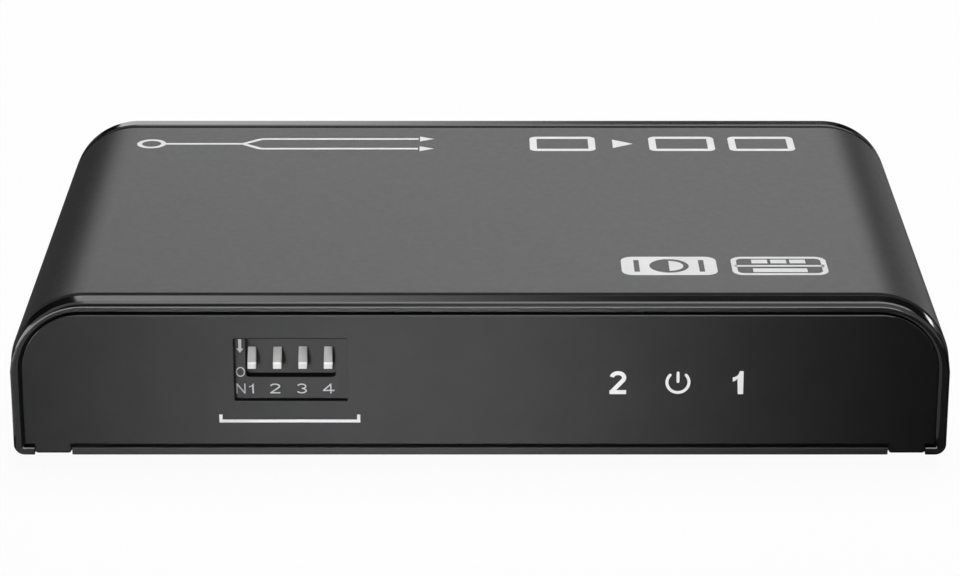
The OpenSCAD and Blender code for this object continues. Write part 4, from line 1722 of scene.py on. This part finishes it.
@dataclass
class PowerInlet:
    """Power inlet: a moulded block with a round nose, a centre pin and a sleeve spring."""

    box: NodeBox = field(default_factory=lambda: NodeBox.of("power_jack_body"))
    height: float = 4.3
    nose: float = 3.9
    nose_length: float = 0.8
    nose_round: float = 0.25
    loose: float = 0.15
    bore: float = 3.15
    bore_depth: float = 9.5
    relief: float = 0.05
    pin: float = 1.05
    pin_sink: float = 1.2
    tail: float = 0.7
    strap: Place = (2.2, 0.4, 7.8)
    spring: Place = (2.0, 8.2, 0.25)
    spring_rise: float = 0.55
    spring_lift: float = 0.45
    spring_bends: Point = (1.5, 0.8)
    edge: float = 0.2

    @property
    def middle(self) -> Point:
        """Middle of the bore."""
        return (self.box.middle.x, self.box.low.z + self.height)

    @property
    def floor(self) -> float:
        """Place of the bore's floor."""
        return self.box.high.y - self.bore_depth

    def hole(self) -> Outline:
        """Hole in the rear panel round the nose."""
        return Outline.circle(self.middle, self.nose + self.loose, steps=64)

    def build(self) -> None:
        """Make the block, the pin and the spring."""
        self.build_block()
        self.build_pin()
        self.build_spring()

    def build_block(self) -> None:
        """Make the moulded block as one closed skin."""
        low, high = self.box.low, self.box.high
        x, z = self.middle
        face = high.y - self.nose_length
        solid = Solid()
        outer = Rim(self.box.front_line(self.edge), self.edge)
        back, front = solid.wall(outer, Facing.FRONT, (low.y, face), outside=True)
        nose = Rim(Outline.circle(self.middle, self.nose), self.nose_round)
        crown, root = solid.wall(nose, Facing.FRONT, (high.y, face), outside=True, one_end=True)
        mouth = Rim(Outline.circle(self.middle, self.bore), self.nose_round)
        lip, neck = solid.wall(mouth, Facing.FRONT, (high.y, face), outside=False, one_end=True)
        half = self.spring[0] / 2 + self.loose
        channel = Outline.box((x - half, low.z + self.spring_lift), (x + half, z))
        key = Stencil((Outline.circle(self.middle, self.bore + self.relief), channel)).rims()[0]
        key_mouth, key_floor = solid.wall(Rim(key), Facing.FRONT, (face, self.floor), outside=False)
        tail = Rim(Outline.circle(self.middle, self.tail))
        tail_ends = solid.wall(tail, Facing.FRONT, (self.floor, low.y), outside=False)
        solid.cap([front, root], 0)
        solid.cap([crown, lip], 0)
        solid.cap([key_mouth, neck], 0)
        solid.cap([key_floor, tail_ends[0]], 0)
        solid.cap([back, tail_ends[1]], 0)
        Piece("inlet_block", "black_moulding", ("power_jack_body",)).add(solid, BLACK_MOULDING)

    def build_pin(self) -> None:
        """Make the centre pin with its domed tip, tail and strap."""
        node = NodeBox.of("power_jack_pin")
        tip = self.box.high.y - self.pin_sink
        back = node.low.y
        dome = oval_arc((0, tip - self.pin / 2), (self.pin, self.pin / 2), 0, 90, steps=8)[:-1]
        shank = [(0, back), (self.tail, back), (self.tail, self.floor), (self.pin, self.floor)]
        solid = Solid().lathe([*shank, *dome, (0, tip)], Facing.FRONT, self.middle)
        solid.block(tuple(node.low), tuple(node.low + Vector(self.strap)), self.strap[1] / 4)
        Piece("inlet_pin", "terminal_tin", ("power_jack_pin",)).add(solid, TERMINAL_TIN)

    def build_spring(self) -> None:
        """Make the sleeve spring with its leg."""
        node = NodeBox.of("power_jack_spring")
        width, length, sheet = self.spring
        low = self.box.low.z + self.spring_lift
        start = node.low.y
        level = low + sheet / 2
        path = soft_line([
            (start, level, 0),
            (start + length / 3, level, self.spring_bends[0]),
            (start + length * 2 / 3, level + self.spring_rise, self.spring_bends[1]),
            (start + length, level, 0),
        ], steps=6)
        left, right = self.middle[0] - width / 2, self.middle[0] + width / 2
        solid = Solid().plate([Rim(Outline.stroke(path, sheet))], Facing.SIDE, (left, right))
        solid.block((left, start, node.low.z), (right, start + self.strap[1], low + sheet), sheet / 4)
        Piece("inlet_spring", "terminal_tin", ("power_jack_spring",)).add(solid, TERMINAL_TIN)


INLET = PowerInlet()


@dataclass
class RearPanel(EndPanel):
    """Rear panel, with the three ports' holes and the inlet's hole."""

    name: str = "rear_sheet"
    node: str = "rear_panel"
    end: End = End.REAR

    def holes(self) -> list[Rim]:
        """Port and inlet holes."""
        return [Rim(line, self.hole_edge) for line in (*PORTS.holes(), INLET.hole())]


# Printed marks


@dataclass
class Legends:
    """Plain printed marks on the top, the front and the rear: signs and numerals, no words."""

    height: float = 0.012
    line: float = 0.55
    top_row: float = 20.5
    fork_places: Place = (-38.4, -26.448, -5.2)
    fork_ring: float = 1.352
    fork_arm: float = 1.768
    fork_bend: float = 1.0
    fork_head: Point = (1.5912, 0.884)
    screen: Point = (7.384, 5.2)
    screen_line: float = 0.8
    screen_places: Place = (9.292, 22.724, 31.708)
    pointer: Point = (2.2941, 1.5294)
    pointer_tip: float = 17.2315
    badge: Point = (9.7, 5.4)
    badge_row: float = -19.6
    badge_places: Point = (19.2, 30.4)
    badge_round: float = 1.2
    half_ring: float = 1.728
    half_ring_bar: float = 3.298
    split_line: float = 0.44
    split_rise: float = 1.296
    split_square: Point = (1.62, 1.08)
    split_step: float = 1.94
    split_bar: Point = (5.49, 1.08)
    bracket: Point = (13.8, 0.32)
    bracket_drop: float = 5.5
    tick: float = 0.7
    rear_row: float = 13.2
    rear_letters: Lettering = Lettering(2.1, 1.5, 0.4)
    rear_letter_shift: float = -1.9
    rear_arrows: Lettering = Lettering(1.5, 3.0, 0.4)
    rear_arrow_shift: float = 1.2
    polarity_row: float = 15.05
    polarity_ring: float = 0.85
    polarity_gap: float = 2.6
    polarity_line: float = 0.22
    polarity_dot: float = 0.45
    polarity_link: float = 0.3

    def build(self) -> None:
        """Print every mark."""
        self.build_top()
        self.build_front()
        self.build_rear()

    def build_top(self) -> None:
        """Print a fork, a screen with an arrow to two more, and two badges on the cover."""
        marks = [self.fork()]
        for x in self.screen_places:
            outer = Outline.centred((x, self.top_row), self.screen, self.screen_line)
            marks.append(Stencil((outer,), (outer.grown(-self.screen_line),)))
        marks.append(Stencil((Outline.pointer((self.pointer_tip, self.top_row), *self.pointer),)))
        marks += [self.contrast_badge(), *self.split_badge()]
        solid = Solid()
        for mark in marks:
            solid.stamp(mark, Facing.UP, (CASE.roof, CASE.roof + self.height))
        Piece("top_marks", "cover_coat").add(solid, PRINT_WHITE)

    def fork(self) -> Stencil:
        """One line that splits into two, from a ring to two arrows.

        Returns:
            The sign.
        """
        start, split, end = self.fork_places
        row, arm, radius = self.top_row, self.fork_arm, self.fork_ring
        ring = oval_arc((start + radius, row), (radius, radius), 0, 360, steps=36)
        paths = [ring, [(start + 2 * radius, row), (split, row)]]
        heads = []
        for level in (row - arm, row + arm):
            bend = (split + arm, level, self.fork_bend)
            paths.append(soft_line([(split - self.line / 2, row, 0), bend, (end - arm, level, 0)], steps=5))
            heads.append(Outline.pointer((end, level), *self.fork_head))
        return Stencil((*(Outline.stroke(path, self.line) for path in paths), *heads))

    def badge_line(self, number: int) -> Outline:
        """Outline of a badge, counted from the left."""
        middle = (self.badge_places[number], self.badge_row)
        return Outline.centred(middle, self.badge, self.badge_round, steps=8)

    def contrast_badge(self) -> Stencil:
        """Filled badge with a half-filled ring and two bars left clear in it.

        Returns:
            The sign.
        """
        x, y = self.badge_places[0], self.badge_row
        radius = self.half_ring
        ring = oval_arc((x, y), (radius, radius), 90, 450, steps=40)
        half = oval_arc((x, y), (radius, radius), 90, 270, steps=24)
        bars = [[(x + shift, y - radius), (x + shift, y + radius)]
                for shift in (-self.half_ring_bar, self.half_ring_bar)]
        clear = [Outline.stroke(path, self.line) for path in (ring, *bars)]
        return Stencil((self.badge_line(0),), (Outline(tuple(half)), *clear))

    def split_badge(self) -> list[Stencil]:
        """Outlined badge with a line across it, three squares above and a bar below.

        Returns:
            The signs that make it up.
        """
        x, y = self.badge_places[1], self.badge_row
        outer = self.badge_line(1)
        half = (self.badge[0] - self.line) / 2
        parts = [Outline.stroke([(x - half, y), (x + half, y)], self.split_line)]
        for shift in (-self.split_step, 0, self.split_step):
            parts.append(Outline.centred((x + shift, y + self.split_rise), self.split_square))
        parts.append(Outline.centred((x, y - self.split_rise), self.split_bar))
        return [Stencil((outer,), (outer.grown(-self.line),)), Stencil(tuple(parts))]

    def build_front(self) -> None:
        """Print a bracket under the selector's window."""
        x, _, z = SELECTOR.middle
        half = self.bracket[0] / 2
        row = z - self.bracket_drop
        path = [(x - half, row + self.tick), (x - half, row), (x + half, row), (x + half, row + self.tick)]
        sign = Stencil((Outline.stroke(path, self.bracket[1]),))
        solid = Solid().stamp(sign, Facing.FRONT, (CASE.front - self.height, CASE.front))
        Piece("front_marks", "sheet_coat").add(solid, PRINT_WHITE)

    def build_rear(self) -> None:
        """Print arrows and the outputs' numerals over the ports, and the polarity sign over the inlet."""
        numerals = {"output_1": self.rear_letters.one(), "output_2": self.rear_letters.two()}
        marks = [self.polarity().moved(-INLET.middle[0], self.polarity_row)]
        for name in PORTS.names:
            x = -PORTS.middle(name)[0]
            arrow = self.rear_arrows.arrow(turned=name not in numerals)
            marks.append(arrow.moved(x + self.rear_arrow_shift, self.rear_row))
            if name in numerals:
                marks.append(numerals[name].moved(x + self.rear_letter_shift, self.rear_row))
        solid = Solid()
        for mark in marks:
            solid.stamp(mark, Facing.REAR, (CASE.rear, CASE.rear + self.height))
        Piece("rear_marks", "sheet_coat").add(solid, PRINT_WHITE)

    def polarity(self) -> Stencil:
        """Sign of a plug whose centre is positive, centred on the origin.

        Returns:
            The sign.
        """
        ring, gap, dot = self.polarity_ring, self.polarity_gap, self.polarity_dot
        paths = [
            oval_arc((0, 0), (ring, ring), 60, 300, steps=24),
            [(self.polarity_link, 0), (gap - ring, 0)],
            [(ring - gap, 0), (-ring, 0)],
            [(gap, -dot), (gap, dot)],
        ]
        for x in (-gap, gap):
            paths += [oval_arc((x, 0), (ring, ring), 0, 360, steps=28), [(x - dot, 0), (x + dot, 0)]]
        strokes = [Outline.stroke(path, self.polarity_line) for path in paths]
        return Stencil((Outline.circle((0, 0), dot, steps=24), *strokes))


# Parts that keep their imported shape


@dataclass
class InnerParts:
    """Screws, board and board parts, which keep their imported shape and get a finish."""

    finishes: dict[str, Finish] = field(default_factory=lambda: {
        "case_screws": SCREW_STEEL,
        "board_standoffs": TERMINAL_TIN,
        "board_screws": SCREW_STEEL,
        "circuit_board": BOARD_LAMINATE,
        "output_1_contacts": CONTACT_GOLD,
        "output_2_contacts": CONTACT_GOLD,
        "input_contacts": CONTACT_GOLD,
        "selector_leads": TERMINAL_TIN,
        "indicator_holder": BLACK_MOULDING,
        "led_2": PIPE_CLEAR,
        "led_power": PIPE_CLEAR,
        "led_1": PIPE_CLEAR,
        "splitter_chip": CHIP_BLACK,
        "thermal_pad": PAD_GREY,
        "heat_sink": BARE_ALUMINIUM,
        "controller_chip": CHIP_BLACK,
        "memory_chip": CHIP_BLACK,
        "surge_arrays": CHIP_BLACK,
        "regulator": CHIP_BLACK,
        "inductor": FERRITE,
        "filter_capacitors": BARE_ALUMINIUM,
        "crystal": SCREW_STEEL,
        "chip_resistors": CHIP_BLACK,
        "chip_capacitors": CHIP_CERAMIC,
    })

    def build(self) -> None:
        """Dress each node that no mesh stands for."""
        for node, finish in self.finishes.items():
            finish.dress(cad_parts[node])
            LOG.info("%s keeps its shape and gets %s", node, finish.name)


# Studio


@dataclass(frozen=True)
class Softbox:
    """Rectangular lamp that points at a place and that no gloss reflects."""

    name: str
    place: Place
    aim: Place
    size: Point
    watts: float
    spread: float = 180.0

    def build(self) -> None:
        """Hang the lamp."""
        lamp = bpy.data.lights.new(self.name, "AREA")
        lamp.shape = "RECTANGLE"
        lamp.size, lamp.size_y = (v * MM for v in self.size)
        lamp.energy = self.watts
        lamp.spread = math.radians(self.spread)
        holder = bpy.data.objects.new(self.name, lamp)
        holder.visible_glossy = False
        holder.location = Vector(self.place) * MM
        holder.rotation_euler = (Vector(self.aim) - Vector(self.place)).to_track_quat("-Z", "Y").to_euler()
        bpy.context.scene.collection.objects.link(holder)


@dataclass(frozen=True)
class Grade:
    """Brightness of a card from its left to its right."""

    left: float = 0.0
    right: float = 0.0
    middle: float = 0.0
    blend: float = 1.0


@dataclass(frozen=True)
class Card:
    """Upright or level card, black or lit, that only gloss reflects."""

    name: str
    low: Place
    high: Place
    grade: Grade = Grade()

    def build(self) -> None:
        """Stand the card beside the object."""
        solid = Solid()
        low, high = self.low, self.high
        if low[2] == high[2]:
            corners = (low, (high[0], *low[1:]), high, (low[0], *high[1:]))
        else:
            corners = (low, (*high[:2], low[2]), high, (*low[:2], high[2]))
        solid.face([solid.mesh.verts.new(Vector(c) * MM) for c in corners], 0)
        card = solid.finish(f"card_{self.name}")
        card.data.materials.append(self.paint())
        card.visible_camera = False
        card.visible_diffuse = False
        card.visible_shadow = False

    def paint(self) -> bpy.types.Material:
        """Glow that runs from the left level to the right one.

        Returns:
            The material.
        """
        made = bpy.data.materials.new(f"card_{self.name}")
        desk = NodeDesk(made)
        spot = desk.add("ShaderNodeTexCoord").outputs["Object"]
        across = desk.add("ShaderNodeSeparateXYZ", {0: spot}).outputs["X"]
        grade = self.grade
        level = desk.add("ShaderNodeMapRange", {
            "Value": across,
            "From Min": (grade.middle - grade.blend) * MM,
            "From Max": (grade.middle + grade.blend) * MM,
            "To Min": grade.left,
            "To Max": grade.right,
        }, interpolation_type="SMOOTHSTEP")
        glow = desk.add("ShaderNodeEmission", {"Color": WHITE, "Strength": level.outputs["Result"]})
        desk.add("ShaderNodeOutputMaterial", {"Surface": glow.outputs[0]})
        return made


@dataclass
class Studio:
    """Pale floor, soft lamps, a dim surround and the camera."""

    floor_size: float = 6000.0
    floor_white: float = 0.9
    floor_dim: float = 0.07
    floor_share: float = 0.95
    ambient: float = 0.03
    lens: float = 125.2
    sensor: float = 36.0
    distance: float = 360.9
    elevation: float = 20.465
    aim_height: float = 8.19
    near: float = 10.0
    lamps: tuple[Softbox, ...] = (
        Softbox("overhead_softbox", (60, 150, 620), (60, 150, 0), (420, 500), 3.7),
        Softbox("front_softbox", (-112, -425, 40), (-8, -29, 11), (40, 160), 0.0274, 12.2),
        Softbox("left_softbox", (-150, -425, 40), (-52, -29, 10), (40, 160), 0.0045, 12.2),
        Softbox("rear_softbox", (110, 470, 24), (0, 29, 9), (300, 60), 0.17, 40.0),
        Softbox("right_strip", (520, -120, 190), (40, -25, 12), (60, 300), 0.03, 90.0),
    )
    cards: tuple[Card, ...] = (
        Card("back_black", (-1600, 900, 0), (1600, 900, 1600)),
        Card("floor_dark", (-1600, -1600, 0.5), (1600, 1600, 0.5), Grade(0.07, 0.07)),
        Card("roof", (-125, -100, 620), (600, 400, 620), Grade(3.2, 3.9, -85, 60)),
        Card("back_middle", (-260, 880, 310), (280, 880, 560), Grade(0.75, 3.6, -10, 120)),
        Card("back_high", (-320, 880, 620), (280, 880, 1080), Grade(2.4, 0.02, -45, 145)),
        Card("back_low", (-260, 880, 110), (280, 880, 310), Grade(1.75, 0.0, -20, 100)),
        Card("back_right_low", (350, 880, 0), (510, 880, 180), Grade(0.7, 0.7)),
        Card("streak", (570, 880, 0), (820, 880, 110), Grade(5.5, 5.5)),
        Card("right_floor", (90, 66, 2), (200, 230, 2), Grade(0.12, 0.12)),
        Card("front_floor", (5, -80, 2), (45, -31, 2), Grade(0.7, 0.7)),
        Card("left_floor", (-260, -140, 2), (-50, -15, 2), Grade(3.0, 1.0, -95, 20)),
        Card("left_black", (-900, 100, 0), (-900, 900, 900)),
        Card("right_black", (1000, -100, 0), (1000, 900, 900)),
        Card("front_strip", (-900, -900, 0), (350, -900, 380), Grade(6.0, 6.0)),
        Card("left_strip", (-905, -900, 0), (-905, 100, 380), Grade(6.0, 6.0)),
        Card("front_high", (-900, -905, 380), (900, -905, 2200), Grade(0.05, 1.2, -40, 130)),
    )

    def build(self) -> None:
        """Set up the floor, lamps, surround and camera."""
        bpy.context.scene.view_settings.view_transform = "Standard"
        self.build_floor()
        self.build_surround()
        for fixture in (*self.lamps, *self.cards):
            fixture.build()
        self.build_camera()

    def seen(self, desk: NodeDesk) -> bpy.types.NodeSocket:
        """One for rays from the camera, through glass or by way of a gloss, else nothing.

        Args:
            desk: Tree to add to.

        Returns:
            The socket.
        """
        path = desk.add("ShaderNodeLightPath").outputs
        found = path["Is Camera Ray"]
        for kind in ("Transmission", "Glossy"):
            either = desk.add("ShaderNodeMath", {0: found, 1: path[f"Is {kind} Ray"]}, operation="MAXIMUM")
            found = either.outputs[0]
        return found

    def build_floor(self) -> None:
        """Lay a pale floor that keeps the object's shadow and is clear from below."""
        half = self.floor_size / 2
        solid = Solid()
        solid.face(solid.ring(Outline.box((-half, -half), (half, half)), Facing.UP, 0.0), 0)
        floor = solid.finish("floor")
        paint = bpy.data.materials.new("pale_floor")
        desk = NodeDesk(paint)
        dim = desk.add("ShaderNodeBsdfDiffuse", {"Color": (self.floor_dim,) * 3 + (1.0,)})
        matt = desk.add("ShaderNodeBsdfDiffuse", {"Color": (self.floor_white,) * 3 + (1.0,)})
        glow = desk.add("ShaderNodeEmission", {"Color": WHITE, "Strength": 1.0})
        shown = desk.mix(self.seen(desk), dim, desk.mix(self.floor_share, matt, glow))
        under = desk.add("ShaderNodeNewGeometry").outputs["Backfacing"]
        sided = desk.mix(under, shown, desk.add("ShaderNodeBsdfTransparent"))
        desk.add("ShaderNodeOutputMaterial", {"Surface": sided.outputs[0]})
        floor.data.materials.append(paint)

    def build_surround(self) -> None:
        """Dim light from all round, seen as white."""
        world = bpy.data.worlds.new("surround")
        bpy.context.scene.world = world
        desk = NodeDesk(world)
        level = desk.add("ShaderNodeMapRange", {
            "Value": self.seen(desk),
            "To Min": self.ambient,
            "To Max": 1.0,
        })
        sky = desk.add("ShaderNodeBackground", {"Color": WHITE, "Strength": level.outputs["Result"]})
        desk.add("ShaderNodeOutputWorld", {"Surface": sky.outputs[0]})

    def build_camera(self) -> None:
        """Set the camera at the photograph's angle."""
        camera = bpy.data.cameras.new("camera")
        camera.lens = self.lens
        camera.sensor_width = self.sensor
        camera.clip_start = self.near * MM
        holder = bpy.data.objects.new("camera", camera)
        tilt = math.radians(self.elevation)
        height = self.aim_height + self.distance * math.sin(tilt)
        holder.location = Vector((0, -self.distance * math.cos(tilt), height)) * MM
        holder.rotation_euler = (math.pi / 2 - tilt, 0, 0)
        bpy.context.scene.collection.objects.link(holder)
        bpy.context.scene.camera = holder


def main() -> None:
    """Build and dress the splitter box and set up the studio."""
    logging.basicConfig(level=logging.INFO, format="%(message)s")
    Studio().build()
    for assembly in (Cover(), FrontPanel(), RearPanel(), Base(), Feet(), SELECTOR, INDICATORS, PORTS, INLET,
                     Legends(), InnerParts()):
        assembly.build()
        LOG.info("%s is done", type(assembly).__name__)


if __name__ == "__main__":
    main()
